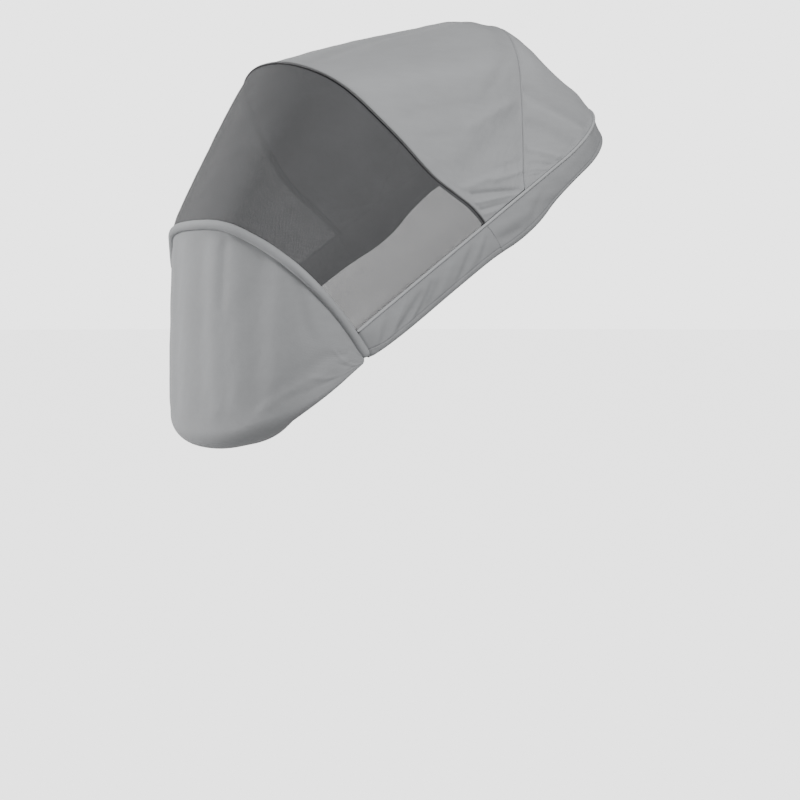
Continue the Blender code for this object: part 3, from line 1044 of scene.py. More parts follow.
def dress(piece: Piece, finish: "WovenFinish | NetFinish | SmoothFinish", *nodes: str) -> Piece:
    """Give a piece its finish and body, and hide the CAD nodes that it replaces.

    Args:
        piece: The piece.
        finish: Its finish.
        *nodes: CAD nodes that it replaces.

    Returns:
        The piece.
    """
    known = bpy.data.materials.get(finish.name)
    piece.data.materials.append(known or finish.material())
    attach(piece, "root")
    if nodes:
        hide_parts(*nodes)
    LOG.info("%s: %d faces", piece.name, len(piece.data.polygons))
    return piece


@dataclass
class Stitches:
    """Short raised stitches of thread, modelled once and copied along a line."""

    half_size: Place = (1.30 * MM, 0.24 * MM, 0.17 * MM)
    pitch: float = 3.2 * MM

    def __post_init__(self) -> None:
        """Model one stitch at the origin, lying along X."""
        bpy.ops.object.select_all(action="DESELECT")
        bpy.ops.mesh.primitive_uv_sphere_add(segments=8, ring_count=6, radius=1.0)
        sample = bpy.context.object
        bpy.ops.object.mode_set(mode="EDIT")
        bpy.ops.mesh.select_all(action="SELECT")
        bpy.ops.transform.rotate(value=math.pi / 2, orient_axis="Y", center_override=(0, 0, 0))
        bpy.ops.transform.resize(value=self.half_size)
        bpy.ops.mesh.quads_convert_to_tris()
        bpy.ops.object.mode_set(mode="OBJECT")
        mesh = sample.data
        self.points = np.array([vertex.co for vertex in mesh.vertices])
        self.faces = np.array([polygon.vertices for polygon in mesh.polygons])
        bpy.data.objects.remove(sample, do_unlink=True)
        bpy.data.meshes.remove(mesh)

    def along(self, name: str, line: Points, normals: Points) -> Piece:
        """Lay stitches end to end on a line.

        Args:
            name: The object's name.
            line: The line, on the cloth's face.
            normals: The cloth's outward direction at each of its points.

        Returns:
            The joined stitches.
        """
        run = run_of(line)
        count = max(2, int(run[-1] / self.pitch))
        shares = (np.arange(count) + 0.5) / count
        before, after = (at_shares(line, np.clip(shares + step, 0, 1)) for step in (-1e-3, 1e-3))
        ahead = unit(after - before)
        rise = unit(sampled(normals, run / run[-1], shares))
        side = unit(np.cross(rise, ahead))
        axes = np.stack([ahead, side, np.cross(ahead, side)], axis=1)
        copies = at_shares(line, shares)[:, None] + np.einsum("pk,nkc->npc", self.points, axes)
        faces = self.faces[None] + (np.arange(count) * len(self.points))[:, None, None]
        mesh = bpy.data.meshes.new(name)
        mesh.from_pydata(copies.reshape(-1, 3).tolist(), [], faces.reshape(-1, 3).tolist())
        mesh.validate()
        mesh.shade_smooth()
        return dress(placed(name, mesh), GREY_THREAD)


# ----------------------------------------------------------------------------------- hood


@dataclass
class Hood:
    """The hood of two panels: the main one and the rear one, sewn along a bowed seam."""

    thickness: float = 1.2 * MM
    crown: float = 7.0 * MM
    top_crown: float = 5.0 * MM
    peak_crown: float = 7.5 * MM
    rear_swell: float = 2.2 * MM
    seam_trim: float = 0.12 * MM
    # How far the folds take to rise from a panel's first edge and to sink before its second.
    first_calm: float = 9.0 * MM
    second_calm: float = 6.0 * MM
    stitch_row: int = 1
    main: Panel = Panel(
        grid=(96, 260),
        size=(0.84, 0.30),
        seed=26,
        depth=0.22 * MM,
        folds=(
            # Near side: a fan of small folds over the brim's foot, then wide dents above it.
            Fold((0.013, 0.02), (0.002, 0.35), 0.0026, 0.0012),
            Fold((0.023, 0.06), (0.002, 0.56), 0.0034, -0.0019),
            Fold((0.039, 0.08), (0.002, 0.86), 0.0042, 0.0020),
            Fold((0.056, 0.15), (0.002, 0.94), 0.0050, -0.0034),
            Fold((0.059, 0.49), (0.044, 0.97), 0.0056, 0.0022),
            Fold((0.075, 0.13), (0.066, 0.62), 0.0075, 0.0022),
            Fold((0.078, 0.60), (0.070, 0.95), 0.0060, -0.0010),
            Fold((0.110, 0.28), (0.172, 0.90), 0.0190, -0.0022, bow=-0.004, taper=1.2),
            Fold((0.190, 0.18), (0.180, 0.42), 0.0100, -0.0013),
            Fold((0.185, 0.50), (0.205, 0.86), 0.0110, 0.0026),
            Fold((0.240, 0.18), (0.228, 0.60), 0.0130, -0.0022, bow=0.003),
            Fold((0.240, 0.72), (0.300, 0.88), 0.0120, -0.0017),
            Fold((0.310, 0.15), (0.292, 0.75), 0.0240, 0.0030),
            Fold((0.360, 0.45), (0.345, 0.92), 0.0160, -0.0016),
            Fold((0.425, 0.12), (0.470, 0.88), 0.0120, -0.0022, bow=0.006),
            Fold((0.500, 0.20), (0.520, 0.80), 0.0240, 0.0016),
            # Far side.
            Fold((0.590, 0.15), (0.560, 0.85), 0.0180, -0.0022, bow=-0.005),
            Fold((0.690, 0.20), (0.665, 0.80), 0.0220, 0.0028),
            Fold((0.765, 0.24), (0.745, 0.74), 0.0110, -0.0024),
            Fold((0.812, 0.50), (0.795, 0.88), 0.0110, 0.0022),
            Fold((0.890, 0.30), (0.840, 0.88), 0.0180, -0.0027, bow=0.005),
            Fold((0.930, 0.60), (0.936, 0.95), 0.0060, -0.0010),
            Fold((0.936, 0.14), (0.950, 0.90), 0.0056, 0.0015),
            Fold((0.952, 0.12), (0.990, 0.90), 0.0036, -0.0020),
            Fold((0.968, 0.08), (0.998, 0.82), 0.0034, 0.0014),
            Fold((0.982, 0.06), (0.998, 0.50), 0.0028, -0.0012),
        ),
    )
    rear: Panel = Panel(
        grid=(72, 240),
        size=(0.72, 0.17),
        seed=18,
        depth=0.22 * MM,
        folds=(
            Fold((0.020, 0.05), (0.050, 0.98), 0.0028, -0.0012),
            Fold((0.040, 0.10), (0.068, 0.96), 0.0032, 0.0014),
            Fold((0.058, 0.12), (0.084, 0.96), 0.0034, -0.0016),
            Fold((0.093, 0.05), (0.110, 0.96), 0.0060, 0.0026),
            Fold((0.156, 0.08), (0.163, 0.92), 0.0095, -0.0036, bow=0.003),
            Fold((0.200, 0.06), (0.208, 0.90), 0.0085, 0.0026),
            Fold((0.240, 0.04), (0.252, 0.95), 0.0095, -0.0038, bow=-0.004, taper=1.5),
            Fold((0.325, 0.15), (0.345, 0.70), 0.0170, 0.0026),
            Fold((0.400, 0.30), (0.420, 0.90), 0.0150, -0.0016),
            Fold((0.370, 0.20), (0.620, 0.20), 0.0330, 0.0054),
            Fold((0.575, 0.20), (0.560, 0.90), 0.0200, 0.0018),
            Fold((0.670, 0.15), (0.655, 0.75), 0.0170, -0.0026),
            Fold((0.755, 0.06), (0.742, 0.92), 0.0100, 0.0026),
            Fold((0.805, 0.06), (0.796, 0.90), 0.0095, -0.0032),
            Fold((0.850, 0.05), (0.838, 0.92), 0.0080, 0.0026),
            Fold((0.908, 0.05), (0.892, 0.95), 0.0060, -0.0022),
            Fold((0.944, 0.10), (0.920, 0.96), 0.0036, 0.0016),
            Fold((0.965, 0.10), (0.938, 0.96), 0.0032, -0.0014),
        ),
    )

    def raised(self, panel: Panel, first: Points, second: Points) -> tuple[Points, Points]:
        """Return a panel's outer face and its painted fold shade.

        Args:
            panel: The panel.
            first: Its edge towards the brim.
            second: Its edge towards the head end.

        Returns:
            The grid in the frame's axes, and the painted fold shade at each point.
        """
        across, down = panel.places()
        base = panel.plain(first, second)
        room = np.linalg.norm(second - first, axis=1)
        height = panel.height_at(across, down, panel.size)
        height *= step_up(down * room, 0.0, self.first_calm)
        height *= step_up((1 - down) * room, 0.0, self.second_calm)
        # Painted fold shade: darker in troughs, lighter on ridges.
        tone = painted_fold_shade(height)
        height *= 0.45 + 0.55 * step_up(to_end(across), 0.0, 0.02)
        return base + outward(base) * (height + self.crown_over(panel, across, down))[..., None], tone

    def crown_over(self, panel: Panel, across: Points, down: Points) -> Points:
        """Return how far a panel swells between its seams.

        Args:
            panel: The panel.
            across: Fractions across it.
            down: Fractions down it.

        Returns:
            The heights.
        """
        swell = self.crown * dome(across, down)
        if panel is self.rear:
            middle = bell(across, 0.5, 0.26)
            return swell * (1 - 0.68 * middle) + self.rear_swell * middle * bell(down, 0.80, 0.11)
        top = bell(across, 0.47, 0.17)
        peak = bell(down, 0.85, 0.15) * step_up(1 - down, 0.0, 0.13)
        return swell + (self.top_crown * np.sin(math.pi * down**1.7) + self.peak_crown * peak) * top

    def build_main(self, rim: Points, stitches: Stitches) -> None:
        """Make the panel from the brim's zip back to the seam, where it runs on under the rear one.

        Args:
            rim: The rim behind the seam's feet.
            stitches: The maker of stitch rows.
        """
        shares = spread(self.main.grid[1])
        brim, seam = at_shares(PATTERN.brim(), shares), at_shares(PATTERN.seam(), shares)
        front, back = drawn_in(brim, seam, PATTERN.zip_side(shares)), drawn_in(seam, brim, self.seam_trim)
        ahead = unit(PATTERN.world(at_shares(rim, shares)) - PATTERN.world(seam))
        outer, tone = self.raised(self.main, front, back)
        grid = tucked_ends(sewn_edge(outer, SEAM_LAP, ahead))
        tone = np.pad(tone, ((0, len(SEAM_LAP)), (len(PANEL_TUCK), len(PANEL_TUCK))), mode="edge")
        main = dress(sheet_piece("hood_main_cloth", grid, self.thickness, tone), HOOD_CLOTH, "hood_main")
        row = stitches.along("hood_brim_stitches", outer[self.stitch_row], outward(outer)[self.stitch_row])

    def build_rear(self, rim: Points, stitches: Stitches) -> None:
        """Make the panel from the seam down to the rim's piping, with its edge turned in at the seam.

        Args:
            rim: The rim behind the seam's feet.
            stitches: The maker of stitch rows.
        """
        inset = 0.002 + 0.996 * spread(self.rear.grid[1])
        seam, rim = at_shares(PATTERN.seam(), inset), at_shares(rim, inset)
        outer, tone = self.raised(self.rear, drawn_in(seam, rim, self.seam_trim), rim)
        centre = PATTERN.world(np.array([PATTERN.rear_start, PATTERN.rim_clearance, 0.0]))
        inward = square_to(centre - outer[-1], unit(np.gradient(outer[-1], axis=0)))
        tuck = np.stack(behind_piping(outer[-1], inward))
        grid = np.concatenate([sewn_edge(outer[::-1], SEAM_TURN)[::-1], tuck])
        tone = np.pad(tone, ((len(SEAM_TURN), len(PANEL_TUCK)), (0, 0)), mode="edge")
        rear = dress(sheet_piece("hood_rear_cloth", grid, self.thickness, tone), HOOD_CLOTH, "hood_rear")
        row = stitches.along("hood_seam_stitches", outer[self.stitch_row], outward(outer)[self.stitch_row])

    def build(self, stitches: Stitches) -> None:
        """Make both panels, with their turned edges and stitching.

        Args:
            stitches: The maker of stitch rows.
        """
        rim = PATTERN.rim(PATTERN.rim_clearance)
        rim = rim[rim[:, 0] <= PATTERN.seam_foot]
        self.build_main(rim, stitches)
        self.build_rear(rim, stitches)


@dataclass
class NetFront:
    """The large sheer panel, from the brim's zip down to the foot cover's binding."""

    thickness: float = 0.5 * MM
    crown: float = 5.0 * MM
    landing: float = 4.2 * MM
    roll_share: float = 0.66
    rim_trim: float = 0.3 * MM
    rim_reach: float = 14.0 * MM
    panel: Panel = Panel(
        grid=(60, 200),
        size=(0.72, 0.23),
        seed=5,
        depth=0.25 * MM,
        folds=(
            Fold((0.190, 0.00), (0.215, 1.00), 0.0300, -0.0018),
            Fold((0.360, 0.10), (0.380, 0.90), 0.0320, 0.0016),
            Fold((0.620, 0.10), (0.600, 0.90), 0.0320, 0.0016),
            Fold((0.815, 0.00), (0.790, 1.00), 0.0300, -0.0018),
        ),
    )

    def build(self) -> None:
        """Make the net."""
        shares = spread(self.panel.grid[1])
        brim, roll = at_shares(PATTERN.brim(), shares), PATTERN.net_foot(shares)
        first = drawn_in(brim, roll, PATTERN.zip_side(shares))
        second = drawn_in(roll, brim, self.roll_share * PATTERN.binding_radius)
        across, down = self.panel.places()
        base = self.panel.plain(first, second)
        # The sides are drawn out to the rim's width near the piping.
        missing = PATTERN.half_width - self.rim_trim - base[:, :1, 0]
        ends = bell(to_end(across) * self.panel.size[0], 0.0, self.rim_reach)
        base[..., 0] += np.where(across < 0.5, 1, -1) * missing * ends
        edge = step_up(down, 0.0, 0.10) * step_up(1 - down, 0.0, 0.08)
        height = self.panel.height_at(across, down, self.panel.size) * edge + self.crown * dome(across, down)
        height += self.landing * step_up(down, 0.45, 1.0) * np.sin(math.pi * across) ** 0.7
        net = sheet_piece("net_mesh", tucked_ends(base + outward(base) * height[..., None]), self.thickness)
        dress(net, NetFinish(), "net")


@dataclass
class BrimZip:
    """The closed zip along the brim: two dark tapes and the coil between them."""

    # How far the tape reaches under hood and net, and how deep it lies there.
    hood_reach: float = 6.6 * MM
    net_reach: float = 4.6 * MM
    hood_depth: float = 1.9 * MM
    net_depth: float = 0.8 * MM
    tape_thickness: float = 0.6 * MM
    tape_sink: float = 0.3 * MM
    tape_rows: int = 15
    tape_columns: int = 300
    # The coil's half width, its height as a share of that, its way to the hood and up, and its turns.
    coil_width: float = 1.75 * MM
    coil_height: float = 0.30
    coil_shift: float = 0.40 * MM
    coil_lift: float = 0.35 * MM
    coil_pitch: float = 1.3 * MM
    coil_steps: int = 10
    coil_sides: int = 4
    wire: float = 0.30 * MM

    def tape(self, line: Points, legs: Sequence[Points], faces: Sequence[Points], both: Points) -> Points:
        """Return the tape's outer face, from under the hood to under the net.

        Args:
            line: The brim's line.
            legs: The ways from it along the hood and along the net.
            faces: The outward directions of hood and net.
            both: The outward direction between them.

        Returns:
            The grid.
        """
        reaches, depths = (self.hood_reach, self.net_reach), (self.hood_depth, self.net_depth)
        rows = []
        for place in np.linspace(-1, 1, self.tape_rows):
            side, share = int(place >= 0), abs(place)
            reach = share * reaches[side]
            sink = self.tape_sink + depths[side] * step_up(reach, 1.0 * MM, 2.4 * MM)
            rows.append(line + legs[side] * reach - unit(both * (1 - share) + faces[side] * share) * sink)
        return np.stack(rows)

    def coil(self, line: Points, to_hood: Points, out: Points) -> Piece:
        """Make the coil, narrower at the brim's feet.

        Args:
            line: The brim's line.
            to_hood: The way from it along the hood.
            out: The outward direction at each of its points.

        Returns:
            The coil.
        """
        run = run_of(line)
        count = int(run[-1] / self.coil_pitch) * self.coil_steps
        shares = np.linspace(0, 1, count)
        middle = at_shares(line + to_hood * self.coil_shift, shares)
        rise = unit(sampled(out, run / run[-1], shares))
        side = unit(np.cross(unit(np.gradient(middle, axis=0)), rise))
        angle = np.arange(count) * 2 * math.pi / self.coil_steps
        swing = np.cos(angle) * (self.coil_width * PATTERN.zip_share(shares))
        lift = np.sin(angle) * self.coil_width * self.coil_height + self.coil_lift
        helix = middle + side * swing[:, None] + rise * lift[:, None]
        radii = np.full(count, self.wire)
        return tube_piece("zip_coil", helix, radii, self.coil_sides, up=rise + side * 1e-3)

    def build(self) -> None:
        """Make the tapes and the coil."""
        shares = spread(self.tape_columns, 0.3)
        brim = at_shares(PATTERN.brim(), shares)
        line, legs, faces = PATTERN.world(brim), [], []
        for other in (at_shares(PATTERN.seam(), shares), PATTERN.net_foot(shares)):
            legs.append(unit(PATTERN.world(other) - line))
            faces.append(outward(PATTERN.world(loft(brim, other, np.linspace(0, 1, 3))))[0])
        both = unit(faces[0] + faces[1])
        grid = tucked_ends(self.tape(line, legs, faces, both))
        tape = dress(sheet_piece("zip_tape", grid, self.tape_thickness), TAPE_CLOTH)
        coil = dress(self.coil(line, legs[0], both), COIL_PLASTIC, "brim_zip")


@dataclass(frozen=True)
class BandFace:
    """A band's outer face, its painted shade of folds and hem groove, the run from its hem line and the way
    inward.
    """

    points: Points
    tone: Points
    from_hem: Points
    inward: Points


@dataclass
class RimBand:
    """The piped cord round the rim and the three lengths of band below it."""

    thickness: float = 1.2 * MM
    bulge: float = 6.5 * MM
    rear_bulge: float = -4.5 * MM
    # How far the lower edge hangs past its plain depth: along the rim, length.
    hang: tuple = (
        (-0.365, -0.0030),
        (-0.250, -0.0026),
        (-0.190, -0.0036),
        (-0.160, -0.0018),
        (-0.137, 0.0006),
        (-0.118, 0.0036),
        (-0.098, 0.0082),
        (-0.077, 0.0114),
        (-0.050, 0.0126),
        (-0.026, 0.0116),
        (-0.005, 0.0092),
        (0.030, 0.0068),
        (0.106, 0.0060),
        (0.173, 0.0060),
        (0.215, 0.0050),
        (0.264, 0.0020),
    )
    # How far the lower edge is turned under.
    tuck: float = 0.020
    # Columns: shares of the bulge, of the tuck and of the depth.
    section: tuple = (
        (0.0, 0.0, 0.0),
        (0.72, 0.0, 0.22),
        (1.00, 0.0, 0.50),
        (1.02, 0.0, 0.76),
        (0.84, 0.0, 0.93),
        (0.42, 0.1, 1.01),
        (0.00, 0.5, 1.02),
        (0.00, 1.0, 0.96),
    )
    front: Relief = Relief(
        seed=110,
        depth=0.16 * MM,
        folds=(
            Fold((0.060, 0.42), (0.130, 0.12), 0.0040, 0.0010),
            Fold((0.105, 0.42), (0.200, 0.12), 0.0038, -0.0012),
            Fold((0.160, 0.46), (0.300, 0.15), 0.0048, 0.0013),
            Fold((0.230, 0.46), (0.420, 0.22), 0.0044, -0.0024),
            Fold((0.285, 0.50), (0.460, 0.22), 0.0046, 0.0014),
            Fold((0.345, 0.50), (0.510, 0.20), 0.0042, -0.0019),
            Fold((0.435, 0.48), (0.540, 0.28), 0.0036, -0.0013),
            Fold((0.540, 0.44), (0.650, 0.18), 0.0060, 0.0012),
            Fold((0.670, 0.50), (0.840, 0.16), 0.0042, -0.0018),
            Fold((0.760, 0.46), (0.900, 0.20), 0.0050, 0.0011),
            Fold((0.860, 0.44), (0.950, 0.20), 0.0040, -0.0010),
        ),
    )
    head_end: Relief = Relief(
        seed=96,
        depth=0.16 * MM,
        folds=(
            Fold((0.012, 0.38), (0.042, 0.46), 0.0055, -0.0018),
            Fold((0.030, 0.22), (0.070, 0.30), 0.0060, 0.0014),
            Fold((0.085, 0.40), (0.110, 0.26), 0.0060, -0.0013),
            Fold((0.105, 0.22), (0.130, 0.38), 0.0070, 0.0012),
            Fold((0.170, 0.12), (0.180, 0.50), 0.0130, 0.0012),
            Fold((0.290, 0.12), (0.285, 0.50), 0.0160, -0.0014),
            Fold((0.430, 0.12), (0.440, 0.50), 0.0180, 0.0012),
            Fold((0.580, 0.12), (0.570, 0.50), 0.0180, -0.0012),
            Fold((0.720, 0.12), (0.725, 0.50), 0.0160, 0.0012),
            Fold((0.850, 0.12), (0.840, 0.50), 0.0130, -0.0014),
            Fold((0.930, 0.20), (0.945, 0.42), 0.0080, 0.0012),
            Fold((0.975, 0.40), (0.985, 0.20), 0.0060, -0.0014),
        ),
    )
    fold_height: float = 3 * MM
    piping_points: int = 520
    piping_sides: int = 14
    front_grid: tuple[int, int] = (110, 130)
    rear_grid: tuple[int, int] = (96, 380)
    # Where the hem is sewn, above the lowest line; how far its cloth stands out; its seam's groove, and the
    # painted shade along it.
    hem: float = 18.5 * MM
    rear_hem: float = 14.0 * MM
    hem_lift: float = 0.45 * MM
    groove_width: float = 0.9 * MM
    groove_depth: float = 0.7 * MM
    groove_painted_shade: float = 1.6
    stitch_drop: float = 1.6 * MM
    # How far the front bands run on under the binding and draw in there, and the gap at their rear seam.
    front_lap: float = 5.0 * MM
    corner_draw: float = 4.0 * MM
    seam_gap: float = 0.12 * MM

    def profile(self, bulge: float, depth: float, rows: int) -> Points:
        """Return a band's section, from the piping down and under.

        Args:
            bulge: How far it swells.
            depth: How far down it reaches.
            rows: Its points.

        Returns:
            The section, as (out, rise) points.
        """
        top = -(PATTERN.piping_radius + 0.3 * MM)
        points = [
            (bulge * swell - self.tuck * tuck, top + (-depth - top) * fall)
            for swell, tuck, fall in self.section
        ]
        return at_shares(smooth_line(np.array(points), 12), np.linspace(0, 1, rows))

    def face(self, line: Points, bulges: Points, relief: Relief, rows: int, hem: float) -> BandFace:
        """Return a band's outer face along a stretch of the rim.

        Args:
            line: The stretch, as rim points.
            bulges: How far the band swells at each of them.
            relief: Its folds and faint waves.
            rows: Its rows.
            hem: How far above the lowest line its hem is sewn.

        Returns:
            The band's face.
        """
        up = np.array([0.0, 1.0, 0.0])
        out = np.cross(unit(np.gradient(line, axis=0)), up)
        if (out * (line - np.array([PATTERN.rear_start, 0.0, 0.0]))).sum() < 0:
            out = -out
        hang = smooth_line(np.array(self.hang), 12)
        depths = PATTERN.band_depth + np.interp(line[:, 0], hang[:, 0], hang[:, 1])
        sections = np.stack([self.profile(*pair, rows) for pair in zip(bulges, depths)], axis=1)
        base = PATTERN.world(line + out * sections[..., :1] + up * sections[..., 1:])
        reach = run_of(line)
        across, down = np.meshgrid(reach / reach[-1], np.linspace(0, 1, rows))
        height = relief.height_at(across, down, (reach[-1], PATTERN.band_depth + self.tuck))
        height *= step_up(down, 0.0, 0.10) * step_up(0.60 - down, 0.0, 0.16)
        # Painted fold shade: darker in troughs, lighter on ridges.
        tone = painted_fold_shade(height, self.fold_height)
        run = run_of(base)
        # The last fifth of the rows is turned under, so the lowest visible line is sought above it.
        low = run[int(np.median(np.argmin(sections[: rows * 4 // 5, :, 1], axis=0)))]
        from_hem = run - (low - hem)
        in_hem = step_up(from_hem, 0.0, 0.7 * MM) * step_up(1.6 * hem - from_hem, 0.0, 3.0 * MM)
        height += self.hem_lift * in_hem
        groove = bell(from_hem, 0.0, self.groove_width)
        outer = base + outward(base) * (height - self.groove_depth * groove)[..., None]
        # Painted shade: the hem's seam groove is also darkened in the colour.
        return BandFace(outer, tone - self.groove_painted_shade * groove, from_hem, PATTERN.direction(-out))

    def band(self, name: str, node: str, face: BandFace, stitches: Stitches, lapped: bool) -> None:
        """Make one band from its face.

        Args:
            name: The piece's name.
            node: The CAD node that it stands for.
            face: Its outer face.
            stitches: The maker of stitch rows.
            lapped: Whether its last end runs on under the next band.
        """
        outer = face.points
        top = np.stack(behind_piping(outer[0], face.inward, BAND_TUCK, 1.0)[::-1])
        grid = np.concatenate([top, outer])
        if lapped:
            grid, extra = sewn_side(grid, SEAM_LAP), (0, len(SEAM_LAP))
        else:
            grid = sewn_side(sewn_side(grid, SEAM_TURN)[:, ::-1], SEAM_TURN)[:, ::-1]
            extra = (len(SEAM_TURN), len(SEAM_TURN))
        tone = np.pad(face.tone, ((len(BAND_TUCK), 0), extra), mode="edge")
        piece = dress(sheet_piece(name, grid, self.thickness, tone), BAND_CLOTH, node)
        sewn = np.argmin(np.abs(face.from_hem - self.stitch_drop), axis=0), np.arange(outer.shape[1])
        rows = [stitches.along(f"{name}_hem_stitches", outer[sewn], outward(outer)[sewn])]
        widths, depths = run_of(grid, 1)[:, -1], run_of(grid)[-1]

    def build_piping(self, rim: Points) -> None:
        """Make the piped cord, a little uneven along its length.

        Args:
            rim: The rim, as far as the piping runs.
        """
        shares = np.linspace(0, 1, self.piping_points)
        wobble = 1 + 0.03 * np.sin(shares * 170) + 0.02 * np.sin(shares * 61 + 1)
        line, radii = PATTERN.world(at_shares(rim, shares)), PATTERN.piping_radius * wobble
        dress(tube_piece("piping_cord", line, radii, self.piping_sides), PIPE_CLOTH, "rim_piping")

    def build_fronts(self, stitches: Stitches) -> None:
        """Make the near and the far front band, each from the binding back to its seam.

        Args:
            stitches: The maker of stitch rows.
        """
        start = PATTERN.band_front + self.front_lap
        along = start - (start - self.seam_gap) * spread(self.front_grid[1], 0.3)
        from_front = start - along
        side = PATTERN.half_width - self.corner_draw * (1 - step_up(from_front, 0.0, 7.0 * MM))
        near = np.stack([along, np.zeros_like(along), side], axis=-1)
        bulges = self.bulge * (0.1 + 0.9 * step_up(from_front, 0.0, 0.028))
        for name, node, way in (("band_near", "band_left", 1.0), ("band_far", "band_right", -1.0)):
            face = self.face(near * np.array([1, 1, way]), bulges, self.front, self.front_grid[0], self.hem)
            self.band(name, node, face, stitches, True)

    def build_head_end(self, rim: Points, stitches: Stitches) -> None:
        """Make the band round the head end, from seam to seam.

        Args:
            rim: The rim, as far as the piping runs.
            stitches: The maker of stitch rows.
        """
        foot = np.array([[-self.seam_gap, 0.0, PATTERN.half_width]])
        line = np.concatenate([foot, rim[rim[:, 0] < -self.seam_gap], foot * np.array([1, 1, -1])])
        shares = spread(self.rear_grid[1], 0.2)
        bulges = self.bulge + (self.rear_bulge - self.bulge) * np.sin(math.pi * shares) ** 3
        face = self.face(at_shares(line, shares), bulges, self.head_end, self.rear_grid[0], self.rear_hem)
        self.band("band_head_end", "band_rear", face, stitches, False)

    def build(self, stitches: Stitches) -> None:
        """Make the piping and the bands.

        Args:
            stitches: The maker of stitch rows.
        """
        rim = PATTERN.rim()
        rim = rim[rim[:, 0] <= PATTERN.band_front + 4.5 * MM]
        self.build_piping(rim)
        self.build_fronts(stitches)
        self.build_head_end(rim, stitches)


@dataclass
class FootEnd:
    """The foot cover with its tucked toe, and the thick binding along its upper edge."""

    thickness: float = 1.2 * MM
    crown: float = 3.0 * MM
    toe_swell: float = 4.0 * MM
    roll_lap: float = 0.4 * MM
    roll_points: int = 360
    roll_sides: int = 28
    under_strip: float = 0.010
    toe_rounding: float = 0.016
    tip_rounding: float = 0.003
    toe_turn: float = math.radians(95)
    turn_rows: int = 14
    tuck_rows: int = 6
    tuck_share: float = 1.2
    panel: Panel = Panel(
        grid=(96, 240),
        size=(0.70, 0.27),
        seed=9,
        depth=0.22 * MM,
        folds=(
            # Creases that run in from the near corner.
            Fold((0.014, 0.94), (0.100, 0.49), 0.0056, 0.0006, bow=0.004),
            Fold((0.030, 0.90), (0.082, 0.68), 0.0050, -0.0004, bow=0.003),
            Fold((0.030, 0.93), (0.150, 0.79), 0.0080, 0.0008, bow=-0.004),
            Fold((0.090, 0.90), (0.200, 0.92), 0.0120, -0.0010),
            Fold((0.150, 0.80), (0.260, 0.93), 0.0110, 0.0010, bow=0.004),
            Fold((0.120, 0.58), (0.215, 0.80), 0.0180, -0.0018),
            Fold((0.208, 0.12), (0.182, 0.34), 0.0150, -0.0014),
            # Upright flutes of the face.
            Fold((0.255, 0.10), (0.250, 0.80), 0.0180, 0.0014),
            Fold((0.305, 0.10), (0.300, 0.90), 0.0170, -0.0014),
            Fold((0.355, 0.08), (0.352, 0.90), 0.0150, 0.0008),
            Fold((0.394, 0.08), (0.398, 0.32), 0.0100, -0.0019),
            Fold((0.424, 0.10), (0.408, 0.90), 0.0170, 0.0018, bow=0.004),
            Fold((0.470, 0.12), (0.468, 0.88), 0.0160, -0.0012),
            Fold((0.530, 0.10), (0.535, 0.90), 0.0220, 0.0018),
            Fold((0.596, 0.10), (0.592, 0.85), 0.0170, -0.0015),
            Fold((0.655, 0.08), (0.652, 0.90), 0.0170, 0.0016),
            Fold((0.720, 0.10), (0.712, 0.85), 0.0180, -0.0018),
            # Far corner.
            Fold((0.800, 0.12), (0.820, 0.34), 0.0120, -0.0020),
            Fold((0.880, 0.50), (0.800, 0.80), 0.0150, -0.0020),
            Fold((0.910, 0.90), (0.800, 0.93), 0.0110, -0.0014),
            Fold((0.984, 0.94), (0.900, 0.52), 0.0056, 0.0006),
            Fold((0.968, 0.93), (0.860, 0.80), 0.0080, 0.0008),
        ),
    )

    def cover_grid(self) -> tuple[Points, Points]:
        """Return the cover's outer face, with its turned toe, and its painted fold shade."""
        shares = spread(self.panel.grid[1])
        roll = at_shares(PATTERN.binding(), 0.006 + 0.988 * shares)
        toe = at_shares(PATTERN.toe(), 0.020 + 0.960 * shares)
        room = np.linalg.norm(toe - roll, axis=1, keepdims=True)
        start = drawn_in(roll, toe, np.minimum(PATTERN.binding_radius - self.roll_lap, 0.5 * room))
        under = self.under_strip * step_up(to_end(shares), 0.05, 0.30)[:, None]
        base = self.panel.plain(start, drawn_in(toe, roll, under))
        across, down = self.panel.places()
        edge = step_up(down, 0.0, 0.07) * step_up(1 - down, 0.0, 0.12)
        height = self.panel.height_at(across, down, self.panel.size) * edge
        # Painted fold shade: darker in troughs, lighter on ridges.
        tone = painted_fold_shade(height)
        height += self.crown * dome(across, down)
        height += self.toe_swell * step_up(down, 0.40, 0.95) * bell(across, 0.54, 0.16)
        face = base + outward(base) * height[..., None]
        width = np.sin(math.pi * shares)[:, None] ** 0.8
        radius = self.tip_rounding + (self.toe_rounding - self.tip_rounding) * width + under
        rows = self.toe_rows(base, face[-1], radius)
        return np.concatenate([face, rows]), np.pad(tone, ((0, len(rows)), (0, 0)))

    def toe_rows(self, base: Points, edge: Points, radius: Points) -> Points:
        """Return the rows that turn under the toe and run on there.

        Args:
            base: The smooth grid of the cover's face.
            edge: The face's last row, with its swell.
            radius: The turn's radius at each column.

        Returns:
            The rows.
        """
        fall = evened(unit(base[-1] - base[-12]))
        out = square_to(evened(outward(base)[-1]), unit(np.gradient(base[-1], axis=0)))
        out = square_to(out, fall)
        rows = [
            edge + radius * (out * (math.cos(turn) - 1) + fall * math.sin(turn))
            for turn in np.linspace(0, self.toe_turn, self.turn_rows + 1)[1:]
        ]
        lead = (fall * math.cos(self.toe_turn) - out * math.sin(self.toe_turn)) * radius * self.tuck_share
        tucked = [rows[-1] + lead * share for share in np.linspace(0, 1, self.tuck_rows + 1)[1:]]
        return np.stack(rows + tucked)

